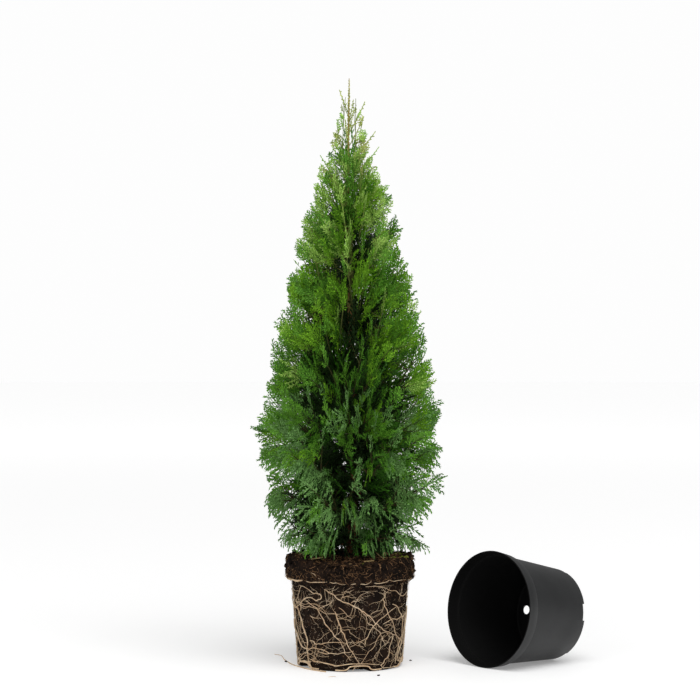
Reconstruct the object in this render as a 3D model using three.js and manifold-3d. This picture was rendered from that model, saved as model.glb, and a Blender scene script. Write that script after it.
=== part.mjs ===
// A young arborvitae lifted out of its nursery pot: the plant stands on its bare root ball, and the
// empty black pot lies on its side to the right of it.
//
// Units are millimetres, +Z is up. The origin is the middle of the root ball's flat underside, on
// the floor. The trunk runs up the Z axis, the front of the plant faces -Y, and angles are measured
// from +X towards +Y.
//
// The trunk is one limb from its flared foot on the soil to the tip of the leader. Round it the
// crown is divided into tiers, parted by cones that open upwards, and each tier into equal sectors.
// One mass of foliage fills each of those spaces: a stem, a core, and flat toothed sprays that stand
// out of the core in upright planes. Each low mass hangs on a bough of its own.

import * as THREE from "three";
import { mergeVertices } from "three/addons/utils/BufferGeometryUtils.js";
import Module from "manifold-3d";

const wasm = await Module();
wasm.setup();

// ---------------------------------------------------------------- driving dimensions

const GAP = 0.3; // clearance between pieces that touch on the real plant

const BALL = {
  height: 176, // floor to the top of the soil's edge
  lipRadius: 103,
  lipHeight: 35, // the band that the pot's wide rim formed
  bodyRadius: 95.5, // just under the lip
  baseRadius: 84,
  edgeBevel: 4,
  sides: 32,
  roughness: 1.3, // how far the soil's faces stand in or out
  soilSeed: 71,
};
const SOIL = { trunkPad: 22, padHeight: 178.4, ragged: 3.2 };
const NOTCH = { count: 5, firstAngle: -80, floorWidth: 40, topWidth: 31, height: 9, depth: 24 };
const ROOT = { radius: 1.9, tipRadius: 1.0, count: 7, steps: 6, stride: 24, seed: 406 };

const TRUNK = {
  foot: 178.7,
  top: 949,
  footX: 5,
  tipX: -3,
  sway: 3,
  footY: -1,
  tipY: 2,
  radius: 9,
  tipRadius: 1.1,
  flareRadius: 18,
  flareHeight: 26,
  rings: 18,
  sides: 8,
};

// Radius of the crown at each height.
const CROWN = [
  [186, 104],
  [235, 122],
  [305, 141],
  [385, 146],
  [450, 132],
  [500, 127],
  [575, 107],
  [613, 98],
  [690, 80],
  [790, 57],
  [825, 48],
  [855, 36],
  [880, 23],
  [930, 17],
  [960, 6],
];

// Each tier lies above the cone z = foot + slope * radius, and below the next tier's cone.
const TIERS = [
  { foot: 186, slope: 0.0, sectors: 5, turn: 18, sprays: 5, bough: true },
  { foot: 205, slope: 0.36, sectors: 5, turn: 36, sprays: 6, bough: true },
  { foot: 238, slope: 0.6, sectors: 5, turn: 10, sprays: 6, bough: true },
  { foot: 276, slope: 0.85, sectors: 5, turn: 66, sprays: 6, bough: false },
  { foot: 322, slope: 1.05, sectors: 4, turn: 0, sprays: 6, bough: false },
  { foot: 378, slope: 1.3, sectors: 4, turn: 52, sprays: 6, bough: false },
  { foot: 446, slope: 1.6, sectors: 4, turn: 15, sprays: 6, bough: false },
  { foot: 528, slope: 2.0, sectors: 3, turn: 35, sprays: 5, bough: false },
  { foot: 625, slope: 2.6, sectors: 3, turn: 90, sprays: 4, bough: false },
  { foot: 715, slope: 3.4, sectors: 2, turn: 15, sprays: 3, bough: false },
  { foot: 800, slope: 5.0, sectors: 2, turn: -5, sprays: 0, bough: false },
];
const CROWN_TOP = 960;

const BOUGH = { radius: 3.4, tipRadius: 2.3, sides: 6, steps: 2, reach: 0.27, sag: 5 };
const STEM = { radius: 1.9, sides: 3 };
// A core's length, width and height as shares of its mass's space.
const CORE = { start: 0.1, end: 0.72, width: 0.82, height: 0.76, bulge: 0.7 };
const SPRAY = {
  thickness: 4.5,
  widthShare: 0.55,
  widthOfSpace: 0.95,
  valley: 0.36, // half width between two teeth, as a share of the blade's half width
  root: [0.3, 0.7], // where sprays leave the core, as shares of its length
  roll: 22,
};
const CLEAR = { cone: 2.0, plane: 0.5, trunk: 1.2 };

// Single sprays, with their own width where it is given: the angle, height and radius of the tip.
const SINGLE_SPRAYS = [
  { angle: 2, height: 304, reach: 156 },
  { angle: 181, height: 379, reach: 150 },
  { angle: -4, height: 191, reach: 127 },
  { angle: 176, height: 240, reach: 128 },
  { angle: 92, height: 300, reach: 150 },
  { angle: 268, height: 330, reach: 148 },
  { angle: 8, height: 838, reach: 47, width: 13 },
  { angle: -6, height: 862, reach: 41, width: 10 },
  { angle: 187, height: 823, reach: 48, width: 13 },
  { angle: 172, height: 840, reach: 30, width: 10 },
  { angle: 4, height: 911, reach: 24, width: 9 },
  { angle: 14, height: 887, reach: 23, width: 9 },
  { angle: 178, height: 930, reach: 17, width: 8 },
  { angle: 166, height: 890, reach: 18, width: 9 },
  { angle: -70, height: 900, reach: 19, width: 9 },
  { angle: -110, height: 879, reach: 21, width: 9 },
  { angle: 72, height: 916, reach: 18, width: 9 },
  { angle: 112, height: 884, reach: 21, width: 9 },
];

const POT = {
  height: 149,
  rimRadius: 93.7,
  rimBottomRadius: 90.9,
  bandHeight: 22,
  bodyRadius: 87.6, // under the band
  baseRadius: 74.2,
  wall: 1.6,
  foot: 5, // height of the floor plate over the ring it stands on
  footWidth: 4,
  sides: 32,
};
const POT_NOTCH = { count: 5, firstAngle: 7.3, width: 27, height: 5 };
const POT_HOLE = { count: 5, firstAngle: 34.7, radius: 7.2, ring: 53, sides: 8 };
// Where the pot lies: the middle of its mouth in plan, and the way its axis runs from the mouth.
const LAID = { mouthX: 221.3, mouthY: -31, turn: 49.3, lift: 0.1 };

// ---------------------------------------------------------------- small tools

const rad = THREE.MathUtils.degToRad;
const lerp = THREE.MathUtils.lerp;
const clamp = THREE.MathUtils.clamp;
const V = (x, y, z) => new THREE.Vector3(x, y, z);

/** An angle turned into the range from -180 to 180 degrees, in radians. */
const turnedOf = (a) => Math.atan2(Math.sin(a), Math.cos(a));

/** The same numbers each time, between 0 and 1, from a whole-number seed. */
class Seeded {
  constructor(seed) {
    this.state = (seed * 2654435 + 12345) % 4294967296;
    this.next();
    this.next();
  }
  next() {
    this.state = (this.state * 1664525 + 1013904223) % 4294967296;
    return this.state / 4294967296;
  }
  between(low, high) {
    return low + (high - low) * this.next();
  }
}

/** Value of a curve given as [place, value] pairs, in straight stretches. */
function along(pairs, place) {
  for (let i = 1; i < pairs.length; i++) {
    const [a, va] = pairs[i - 1];
    const [b, vb] = pairs[i];
    if (place <= b) return lerp(va, vb, clamp((place - a) / (b - a), 0, 1));
  }
  return pairs[pairs.length - 1][1];
}

/** A closed three.js geometry as a manifold-3d solid. */
function solid(geometry) {
  const bare = new THREE.BufferGeometry();
  const loose = geometry.index ? geometry.toNonIndexed() : geometry;
  bare.setAttribute("position", loose.getAttribute("position"));
  const merged = mergeVertices(bare, 1e-4);
  const kept = [];
  for (let i = 0; i < merged.index.count; i += 3) {
    const [a, b, c] = [0, 1, 2].map((k) => merged.index.getX(i + k));
    if (a !== b && b !== c && a !== c) kept.push(a, b, c);
  }
  const made = (corners) =>
    new wasm.Manifold(
      new wasm.Mesh({
        numProp: 3,
        vertProperties: Float32Array.from(merged.attributes.position.array),
        triVerts: Uint32Array.from(corners),
      }),
    );
  const outward = made(kept);
  return outward.volume() > 0 ? outward : made(kept.reverse());
}

/** A manifold-3d solid as a geometry: its largest body, with any sealed hollow filled. */
function geometryOf(manifold) {
  const body = manifold.decompose().reduce((a, b) => (b.volume() > a.volume() ? b : a));
  const mesh = body.getMesh();
  const places = new Float32Array(mesh.numVert * 3);
  for (let i = 0; i < mesh.numVert; i++) {
    places.set(mesh.vertProperties.subarray(i * mesh.numProp, i * mesh.numProp + 3), i * 3);
  }
  const geometry = new THREE.BufferGeometry();
  geometry.setAttribute("position", new THREE.BufferAttribute(places, 3));
  geometry.setIndex(new THREE.BufferAttribute(mesh.triVerts, 1));
  const flat = geometry.toNonIndexed();
  flat.computeVertexNormals();
  return flat;
}

/** A limb through points, with a radius at each, closed by flat ends or a point where it is 0. */
function limb(points, radii, sides) {
  const rings = points.map((p, i) => {
    const way = V(0, 0, 0).subVectors(
      points[Math.min(i + 1, points.length - 1)],
      points[Math.max(i - 1, 0)],
    );
    if (i === 0 && Math.abs(way.z) > way.length() * 0.9) way.set(0, 0, 1);
    way.normalize();
    const side = V(0, 0, 0).crossVectors(way, Math.abs(way.z) > 0.9 ? V(0, 1, 0) : V(0, 0, 1));
    side.normalize();
    const up = V(0, 0, 0).crossVectors(side, way);
    return Array.from({ length: sides }, (_, k) => {
      const a = (2 * Math.PI * k) / sides;
      return p
        .clone()
        .addScaledVector(side, radii[i] * Math.cos(a))
        .addScaledVector(up, radii[i] * Math.sin(a));
    });
  });
  return skin(rings, points[0], points[points.length - 1]);
}

/** A closed skin over rings of points, with a fan on the first and the last ring. */
function skin(rings, first, last) {
  const places = [];
  const face = (...corners) => corners.forEach((c) => places.push(c.x, c.y, c.z));
  const n = rings[0].length;
  for (let k = 0; k < n; k++) {
    const m = (k + 1) % n;
    face(first, rings[0][k], rings[0][m]);
    for (let i = 1; i < rings.length; i++) {
      face(rings[i - 1][k], rings[i][k], rings[i][m]);
      face(rings[i - 1][k], rings[i][m], rings[i - 1][m]);
    }
    face(last, rings[rings.length - 1][m], rings[rings.length - 1][k]);
  }
  const geometry = new THREE.BufferGeometry();
  geometry.setAttribute("position", new THREE.Float32BufferAttribute(places, 3));
  return solid(geometry);
}

const material = (name, color, roughness) =>
  new THREE.MeshStandardMaterial({ name, color, roughness, metalness: 0 });
const FINISH = {
  bark: material("bark", 0x5a3d28, 0.9),
  soil: material("soil", 0x33261d, 1.0),
  low: material("foliage_low", 0x3c6a34, 0.7),
  middle: material("foliage_middle", 0x43852a, 0.65),
  high: material("foliage_high", 0x6f9440, 0.65),
  pot: material("pot", 0x1b1c1d, 0.45),
};

// ---------------------------------------------------------------- root ball

/** Radius of the root ball's side at a height. */
function ballRadius(z) {
  const lipFoot = BALL.height - BALL.lipHeight;
  if (z > lipFoot) return BALL.lipRadius;
  return lerp(BALL.baseRadius, BALL.bodyRadius, clamp(z / lipFoot, 0, 1));
}

/** Height of the soil's surface, which dips a little inside its ragged edge. */
function soilHeight(share, random) {
  const dip = -5 * Math.sin(Math.PI * share) * share;
  return lerp(SOIL.padHeight, BALL.height, share) + dip + SOIL.ragged * share * (random.next() - 0.5);
}

function rootBallBody() {
  const random = new Seeded(BALL.soilSeed);
  const lipFoot = BALL.height - BALL.lipHeight;
  const rough = () => BALL.roughness * (2 * random.next() - 1);
  const ring = (radius, height, shake = true) =>
    Array.from({ length: BALL.sides }, (_, k) => {
      const a = (2 * Math.PI * k) / BALL.sides;
      const r = radius + (shake ? rough() : 0);
      return V(r * Math.cos(a), r * Math.sin(a), typeof height === "function" ? height() : height);
    });
  const flatRadius = BALL.baseRadius - BALL.edgeBevel;
  const rings = [
    ring(flatRadius, 0, false),
    ring(ballRadius(BALL.edgeBevel), BALL.edgeBevel),
    ring(ballRadius(lipFoot * 0.5), lipFoot * 0.5),
    ring(BALL.bodyRadius, lipFoot - 2),
    ring(BALL.lipRadius - 1, lipFoot + 3),
    ring(BALL.lipRadius, BALL.height - 5),
    ring(BALL.lipRadius - 4, () => soilHeight(1, random) + 2),
    ring(BALL.lipRadius * 0.75, () => soilHeight(0.75, random)),
    ring(BALL.lipRadius * 0.48, () => soilHeight(0.48, random)),
    ring(SOIL.trunkPad, SOIL.padHeight, false),
  ];
  return skin(rings, V(0, 0, 0), V(0, 0, SOIL.padHeight));
}

/** The arch that a foot of the pot left in the root ball's bottom edge. */
function notchCutter(turn) {
  const outline = new THREE.Shape();
  outline.moveTo(-NOTCH.floorWidth / 2, -1);
  outline.lineTo(NOTCH.floorWidth / 2, -1);
  outline.lineTo(NOTCH.topWidth / 2, NOTCH.height);
  outline.lineTo(-NOTCH.topWidth / 2, NOTCH.height);
  outline.closePath();
  const block = new THREE.ExtrudeGeometry(outline, { depth: NOTCH.depth + 10, bevelEnabled: false });
  block.rotateX(Math.PI / 2); // the outline's height turns to +Z, its depth to -Y
  block.translate(0, BALL.baseRadius + 10, 0);
  block.rotateZ(rad(turn) - Math.PI / 2);
  return solid(block);
}

/** One root that wanders down the root ball's side, half sunk in the soil. */
function surfaceRoot(random) {
  let angle = rad(random.between(0, 360));
  let height = random.between(80, 132);
  let heading = rad(random.between(-150, -30)); // 0 runs round the ball, -90 straight down
  const points = [];
  for (let i = 0; i < ROOT.steps; i++) {
    const r = ballRadius(height) + 0.4;
    points.push(V(r * Math.cos(angle), r * Math.sin(angle), height));
    heading += rad(random.between(-24, 24));
    if (height < 18) heading = Math.cos(heading) < 0 ? Math.PI : 0;
    angle += (Math.cos(heading) * ROOT.stride) / r;
    height = clamp(height + Math.sin(heading) * ROOT.stride, 12, 134);
  }
  const radii = points.map((_, i) => lerp(ROOT.radius, ROOT.tipRadius, i / (ROOT.steps - 1)));
  return limb(points, radii, 3);
}

function rootBall() {
  const random = new Seeded(ROOT.seed);
  let body = rootBallBody();
  for (let i = 0; i < ROOT.count; i++) body = body.add(surfaceRoot(random));
  for (let i = 0; i < NOTCH.count; i++) {
    body = body.subtract(notchCutter(NOTCH.firstAngle + (360 / NOTCH.count) * i));
  }
  return body;
}

// ---------------------------------------------------------------- trunk and boughs

const crownRadius = (z) => along(CROWN, z);

/** Middle of the trunk at a height. */
function trunkAt(z) {
  const t = clamp((z - TRUNK.foot) / (TRUNK.top - TRUNK.foot), 0, 1);
  const sway = TRUNK.sway * Math.sin(2.2 * Math.PI * t);
  return V(lerp(TRUNK.footX, TRUNK.tipX, t) + sway, lerp(TRUNK.footY, TRUNK.tipY, t) - 0.6 * sway, z);
}

/** Radius of the trunk at a height, with the flare of the root collar at its foot. */
function trunkRadius(z) {
  const t = clamp((z - TRUNK.foot) / (TRUNK.top - TRUNK.foot), 0, 1);
  const flare = Math.max(0, 1 - (z - TRUNK.foot) / TRUNK.flareHeight);
  const plain = lerp(TRUNK.radius, TRUNK.tipRadius, t ** 0.8);
  return plain + (TRUNK.flareRadius - TRUNK.radius) * flare ** 2;
}

/** The trunk, or with a margin the room that the limbs leave round it. */
function trunk(margin = 0) {
  const more = margin / Math.cos(Math.PI / TRUNK.sides); // the margin counts from the flat faces
  const points = Array.from({ length: TRUNK.rings }, (_, i) => {
    const t = (i / (TRUNK.rings - 1)) ** 1.5; // closer rings in the flare
    return trunkAt(lerp(TRUNK.foot, TRUNK.top, t));
  });
  return limb(points, points.map((p) => trunkRadius(p.z) + more), TRUNK.sides);
}
const TRUNK_ROOM = trunk(GAP);

/** A tier's floor at a radius, or its ceiling: the next tier's floor. */
const floorOf = (tier, r) => TIERS[tier].foot + TIERS[tier].slope * r;
const ceilingOf = (tier, r) => (tier + 1 < TIERS.length ? floorOf(tier + 1, r) : CROWN_TOP);

/** The middle surface of a tier, where its stems and boughs run. */
const middleOf = (tier, r) => {
  const top = Math.min(ceilingOf(tier, r), floorOf(tier, r) + 150);
  return (floorOf(tier, r) + top) / 2;
};

/** A point of a tier at a radius and an angle, on its middle surface unless a height is given. */
function placeIn(tier, r, angle, height = middleOf(tier, r)) {
  return V(r * Math.cos(angle), r * Math.sin(angle), height);
}

/** The radius at which a tier's middle surface meets the outside of the crown. */
function reachOf(tier) {
  let r = 20;
  while (r < crownRadius(middleOf(tier, r))) r += 1;
  return r;
}

/** The radius at which a limb leaves the trunk. */
function startRadius(tier, angle) {
  const z = middleOf(tier, 8);
  const middle = trunkAt(z);
  return trunkRadius(z) + middle.x * Math.cos(angle) + middle.y * Math.sin(angle);
}

/** Points of a limb in a tier, from the trunk's middle to a radius. */
function limbPoints(tier, angle, end, steps, sag = 0) {
  const start = startRadius(tier, angle) + 4;
  const points = [trunkAt(middleOf(tier, start) - 0.5 * (middleOf(tier, 20) - middleOf(tier, 10)))];
  for (let i = 0; i < steps; i++) {
    const t = i / (steps - 1);
    const p = placeIn(tier, lerp(start, end, t), angle);
    p.z -= sag * Math.sin(Math.PI * t);
    points.push(p);
  }
  return points;
}

function boughPoints(tier, angle) {
  return limbPoints(tier, angle, BOUGH.reach * reachOf(tier), BOUGH.steps, BOUGH.sag / 2);
}

function bough(tier, angle) {
  const points = boughPoints(tier, angle);
  const radii = points.map((_, i) => lerp(BOUGH.radius, BOUGH.tipRadius, i / (points.length - 1)));
  return limb(points, radii, BOUGH.sides).subtract(TRUNK_ROOM);
}

// ---------------------------------------------------------------- foliage

/** True if a point keeps to its mass's space, clear of the trunk. */
function inSpace(tier, angle, half, p) {
  const r = Math.hypot(p.x, p.y);
  if (p.z < floorOf(tier, r) + CLEAR.cone || p.z > ceilingOf(tier, r) - CLEAR.cone) return false;
  const off = Math.atan2(p.y, p.x) - angle;
  const turned = turnedOf(off);
  if (Math.abs(turned) > half || r * Math.sin(half - Math.abs(turned)) < CLEAR.plane) return false;
  const middle = trunkAt(p.z);
  return Math.hypot(p.x - middle.x, p.y - middle.y) > trunkRadius(p.z) + CLEAR.trunk;
}

/** One edge of a spray's outline, from root to tip: two teeth that point forward. */
function sprayEdge(length, half, offset) {
  return [
    [(0.36 + offset) * length, half],
    [(0.42 + offset) * length, half * SPRAY.valley],
    [(0.72 + offset) * length, half * (0.8 - offset)],
    [(0.8 + offset) * length, half * SPRAY.valley * 0.6],
  ];
}

/**
 * A keeled blade from root to tip, in the upright plane between them, rolled about its rib. It is
 * thick along a ridge over the rib and thin at its toothed edges.
 */
function spray(root, tip, roll, width) {
  const rib = V(0, 0, 0).subVectors(tip, root);
  const length = rib.length();
  rib.normalize();
  const up = V(0, 0, 1).addScaledVector(rib, -rib.z).normalize().applyAxisAngle(rib, roll);
  const across = V(0, 0, 0).crossVectors(rib, up);
  const ridge = [0.28 * length, 0.64 * length];
  const places = [];
  for (const edgeSign of [1, -1]) {
    const edge = sprayEdge(length, width / 2, edgeSign > 0 ? 0 : 0.09);
    const rim = [[0, 0], ...edge, [length, 0]].map(([x, y]) => [x, y * edgeSign, 0]);
    for (const faceSign of [1, -1]) {
      const keel = ridge.map((x) => [x, 0, (faceSign * SPRAY.thickness) / 2]);
      const faces = [
        [rim[0], rim[1], keel[0]],
        [rim[1], rim[2], keel[0]],
        [keel[0], rim[2], keel[1]],
        [rim[2], rim[3], keel[1]],
        [rim[3], rim[4], keel[1]],
        [rim[4], rim[5], keel[1]],
      ];
      faces.forEach((f) => (edgeSign * faceSign > 0 ? f.reverse() : f).forEach((c) => places.push(...c)));
    }
  }
  const blade = new THREE.BufferGeometry();
  blade.setAttribute("position", new THREE.Float32BufferAttribute(places, 3));
  blade.applyMatrix4(new THREE.Matrix4().makeBasis(rib, up, across).setPosition(root));
  return blade;
}

/** True if every corner of a geometry keeps to the mass's space. */
function fits(geometry, tier, angle, half) {
  const places = geometry.getAttribute("position");
  for (let i = 0; i < places.count; i++) {
    const p = V(0, 0, 0).fromBufferAttribute(places, i);
    if (!inSpace(tier, angle, half, p)) return false;
  }
  return true;
}

/** The dense heart of a mass: it follows the shape of the mass's space, well inside it. */
function core(tier, angle, half, startR, endR) {
  // Angle and height of the corners of a cross-section, as shares of the core's half sizes.
  const corners = [
    [-1, -0.1],
    [-0.4, -1],
    [0.4, -1],
    [1, -0.1],
    [0.45, 0.9],
    [-0.45, 0.9],
  ];
  const stations = [0.3, 0.85];
  const swell = [CORE.bulge, 1];
  const rings = stations.map((s, i) => {
    const r = lerp(startR, endR, s);
    const top = Math.min(ceilingOf(tier, r), floorOf(tier, r) + 150);
    const tall = ((top - floorOf(tier, r)) / 2) * CORE.height * swell[i];
    return corners.map(([across, up]) => {
      const a = angle + across * half * CORE.width * swell[i];
      return placeIn(tier, r, a, middleOf(tier, r) + tall * up);
    });
  });
  return skin(rings, placeIn(tier, startR, angle), placeIn(tier, endR, angle));
}

/** The tips of a mass's sprays, spread over its part of the crown's outside. */
function sprayTips(tier, angle, half, random) {
  const tips = [];
  const reach = reachOf(tier);
  const count = TIERS[tier].sprays;
  for (let i = 0; i < count; i++) {
    const across = ((i + 0.5) / count) * 2 - 1 + random.between(-0.1, 0.1);
    const a = angle + across * half * 0.86;
    const share = clamp(0.5 + 0.3 * (i % 2 ? 1 : -1) + random.between(-0.12, 0.12), 0.04, 0.96);
    let r = reach;
    let z = middleOf(tier, r);
    for (let pass = 0; pass < 6; pass++) {
      const top = Math.min(ceilingOf(tier, r), floorOf(tier, r) + 150);
      z = lerp(floorOf(tier, r) + 6, top - 6, share);
      r = crownRadius(z);
    }
    tips.push({ angle: a, height: z, reach: r * random.between(0.98, 1.05) });
  }
  for (const one of SINGLE_SPRAYS) {
    const off = turnedOf(rad(one.angle) - angle);
    const above = one.height > floorOf(tier, one.reach) + 4;
    const below = one.height < ceilingOf(tier, one.reach) - 4;
    if (above && below && Math.abs(off) < half * 0.95) tips.push({ ...one, angle: angle + off });
  }
  return tips;
}

/** One mass: its stem, its core and its sprays, fused. */
function mass(tier, angle, half, seed) {
  const random = new Seeded(seed);
  const reach = reachOf(tier);
  const boughEnd = TIERS[tier].bough ? boughPoints(tier, angle).at(-1) : null;
  const stemStart = boughEnd
    ? Math.hypot(boughEnd.x, boughEnd.y) + GAP + 0.1
    : startRadius(tier, angle);
  const coreStart = lerp(stemStart, reach, CORE.start);
  const coreEnd = lerp(stemStart, reach, CORE.end);
  const stemEnd = lerp(coreStart, coreEnd, 0.4);
  const stemPoints = boughEnd
    ? [0, 0.5, 1].map((s) => placeIn(tier, lerp(stemStart, stemEnd, s), angle))
    : limbPoints(tier, angle, stemEnd, 2);
  let made = limb(stemPoints, [STEM.radius, STEM.radius, STEM.radius * 0.7], STEM.sides);
  made = made.add(core(tier, angle, half, coreStart, coreEnd));
  for (const tip of sprayTips(tier, angle, half, random)) {
    const roll = rad(random.between(-SPRAY.roll, SPRAY.roll));
    const length = tip.reach - lerp(coreStart, coreEnd, 0.5);
    const slope = (middleOf(tier, reach) - middleOf(tier, coreEnd)) / (reach - coreEnd);
    const tall = ceilingOf(tier, coreEnd) - floorOf(tier, coreEnd);
    const room = (SPRAY.widthOfSpace * tall) / Math.hypot(1, slope);
    const longest = SPRAY.widthShare * length * Math.hypot(1, slope);
    const width = tip.width ?? Math.min(longest, room) * random.between(0.85, 1.1);
    const rootR = lerp(coreStart, coreEnd, random.between(...SPRAY.root));
    const rootAngle = angle + (tip.angle - angle) * 0.3;
    const root = placeIn(tier, rootR, rootAngle);
    // A spray that would leave its space is tried flatter and narrower, then skipped.
    for (const [rollShare, widthOf, reachOfTip] of [
      [1, 1, 1],
      [0.4, 0.8, 1],
      [0, 0.62, 1],
      [0, 0.5, 0.94],
    ]) {
      const end = placeIn(tier, tip.reach * reachOfTip, tip.angle, tip.height);
      const blade = spray(root, end, roll * rollShare, width * widthOf);
      if (fits(blade, tier, angle, half)) {
        made = made.add(solid(blade));
        break;
      }
    }
  }
  return made.subtract(TRUNK_ROOM);
}

// ---------------------------------------------------------------- pot

/** The pot upright on its foot ring, its axis on Z. */
function uprightPot() {
  const bandFoot = POT.height - POT.bandHeight;
  const inner = (r) => r - POT.wall;
  const profile = [
    [0, POT.foot],
    [POT.baseRadius - POT.footWidth - 3, POT.foot],
    [POT.baseRadius - POT.footWidth - 1, 0],
    [POT.baseRadius - 1.5, 0],
    [POT.baseRadius, 2],
    [POT.bodyRadius, bandFoot],
    [POT.rimBottomRadius, bandFoot + 1.4],
    [POT.rimRadius, POT.height],
    [inner(POT.rimRadius), POT.height],
    [inner(POT.rimBottomRadius), bandFoot + 3.2],
    [inner(POT.bodyRadius), bandFoot + 1.8],
    [inner(POT.baseRadius) + 0.8, POT.foot + 4],
    [inner(POT.baseRadius) - 2, POT.foot + POT.wall],
    [0, POT.foot + POT.wall],
  ].map(([r, z]) => new THREE.Vector2(r, z));
  const turned = new THREE.LatheGeometry(profile, POT.sides);
  turned.rotateX(Math.PI / 2); // LatheGeometry turns about +Y
  let pot = solid(turned);
  for (let i = 0; i < POT_NOTCH.count; i++) {
    const turn = rad(POT_NOTCH.firstAngle + (360 / POT_NOTCH.count) * i);
    const block = new THREE.BoxGeometry(POT.footWidth * 4, POT_NOTCH.width, POT_NOTCH.height * 2);
    block.translate(POT.baseRadius, 0, 0);
    pot = pot.subtract(solid(block.rotateZ(turn)));
  }
  for (let i = 0; i < POT_HOLE.count; i++) {
    const turn = rad(POT_HOLE.firstAngle + (360 / POT_HOLE.count) * i);
    const drill = new THREE.CylinderGeometry(POT_HOLE.radius, POT_HOLE.radius, 30, POT_HOLE.sides);
    drill.rotateX(Math.PI / 2);
    drill.translate(POT_HOLE.ring, 0, 0);
    pot = pot.subtract(solid(drill.rotateZ(turn)));
  }
  return pot;
}

/** The pot's mesh, laid on its side: it rests on its rim and on the corner of its base. */
function laidPot() {
  const mesh = new THREE.Mesh(geometryOf(uprightPot()), FINISH.pot);
  mesh.name = "pot";
  const lean = Math.atan((POT.rimRadius - POT.baseRadius) / (POT.height - 2));
  // The pot's -Z (mouth to base) turns to the axis in plan, then dips by the lean.
  const axis = V(
    Math.sin(rad(LAID.turn)) * Math.cos(lean),
    Math.cos(rad(LAID.turn)) * Math.cos(lean),
    -Math.sin(lean),
  );
  const side = V(Math.cos(rad(LAID.turn)), -Math.sin(rad(LAID.turn)), 0);
  const zAxis = axis.clone().negate();
  const yAxis = V(0, 0, 0).crossVectors(zAxis, side);
  const laid = new THREE.Group();
  laid.quaternion.setFromRotationMatrix(new THREE.Matrix4().makeBasis(side, yAxis, zAxis));
  const mouthHeight = POT.rimRadius * Math.cos(lean) + LAID.lift;
  const mouth = V(LAID.mouthX, LAID.mouthY, mouthHeight);
  laid.position.copy(mouth).addScaledVector(axis, POT.height);
  laid.add(mesh);
  return laid;
}

// ---------------------------------------------------------------- assembly

function named(name, manifold, finish) {
  const mesh = new THREE.Mesh(geometryOf(manifold), finish);
  mesh.name = name;
  return mesh;
}

function pottedThuja() {
  const plant = new THREE.Group();
  plant.add(named("root_ball", rootBall(), FINISH.soil));
  plant.add(named("trunk", trunk(), FINISH.bark));
  TIERS.forEach((row, tier) => {
    const half = Math.PI / row.sectors;
    const finish = tier < 3 ? FINISH.low : tier < 7 ? FINISH.middle : FINISH.high;
    for (let sector = 0; sector < row.sectors; sector++) {
      const angle = rad(row.turn) + 2 * half * sector;
      const label = `${tier + 1}_${sector + 1}`;
      if (row.bough) plant.add(named(`bough_${label}`, bough(tier, angle), FINISH.bark));
      plant.add(named(`foliage_${label}`, mass(tier, angle, half, 10 * tier + sector + 1), finish));
    }
  });
  plant.add(laidPot());
  return plant;
}

export default pottedThuja();
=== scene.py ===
"""A young arborvitae on its bare root ball, with the empty nursery pot laid beside it.

Lengths are millimetres while a shape is worked out and metres in its mesh. +Z is up, the front of
the plant faces -Y, and angles are measured from +X towards +Y. The crown follows the same rule of
tiers, sectors and sprays as the frame's solids, carried on to branchlets and leaf shoots.
"""

import logging
import math
from dataclasses import dataclass, field
from enum import Enum
from typing import Any

import bmesh
import bpy
import numpy as np
from mathutils import Matrix, Vector


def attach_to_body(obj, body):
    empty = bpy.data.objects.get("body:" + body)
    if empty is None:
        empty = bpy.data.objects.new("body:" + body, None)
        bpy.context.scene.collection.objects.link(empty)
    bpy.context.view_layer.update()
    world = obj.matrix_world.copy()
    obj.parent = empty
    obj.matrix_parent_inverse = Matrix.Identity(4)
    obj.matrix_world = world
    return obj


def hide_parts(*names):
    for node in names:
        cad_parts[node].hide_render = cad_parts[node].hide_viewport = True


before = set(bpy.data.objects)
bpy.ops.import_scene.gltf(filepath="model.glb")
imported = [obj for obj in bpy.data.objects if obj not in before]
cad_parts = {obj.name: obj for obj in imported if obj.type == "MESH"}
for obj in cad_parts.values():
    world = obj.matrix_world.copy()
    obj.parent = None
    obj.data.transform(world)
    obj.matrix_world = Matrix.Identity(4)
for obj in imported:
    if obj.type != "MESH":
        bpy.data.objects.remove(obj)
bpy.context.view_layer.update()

log = logging.getLogger("thuja")
MM = 0.001
BODY = "root"
UP = np.array([0.0, 0.0, 1.0])
BANDS = ("low", "middle", "high")  # of the crown
Path = tuple[list[np.ndarray], list[float]]  # points in millimetres, and a radius at each
Mark = tuple[float, float]  # an angle in degrees round the root ball, and a height
Colour = tuple[int, int, int]  # red, green and blue as a screen shows them, from 0 to 255


# ---------------------------------------------------------------- small tools


class Seeded:
    """The same numbers each time, between 0 and 1, from a whole-number seed."""

    def __init__(self, seed: int) -> None:
        """Starts the row of numbers that belongs to a seed.

        Args:
            seed: A whole number.
        """
        self.state = (seed * 2654435 + 12345) % 4294967296
        self.next()
        self.next()

    def next(self) -> float:
        """The next number between 0 and 1."""
        self.state = (self.state * 1664525 + 1013904223) % 4294967296
        return self.state / 4294967296

    def between(self, low: float, high: float) -> float:
        """The next number, spread between low and high."""
        return low + (high - low) * self.next()


def lerp(a: float, b: float, t: float) -> float:
    """The value a share t of the way from a to b."""
    return a + (b - a) * t


def clamp(value: float, low: float, high: float) -> float:
    """The value, kept between low and high."""
    return max(low, min(high, value))


def along(pairs: tuple[tuple[float, float], ...], place: Any) -> Any:
    """Value of a curve given as (place, value) pairs, in straight stretches."""
    return np.interp(place, [p for p, _ in pairs], [v for _, v in pairs])


def turned_of(angle: float) -> float:
    """An angle turned into the range from -180 to 180 degrees, in radians."""
    return math.atan2(math.sin(angle), math.cos(angle))


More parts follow.
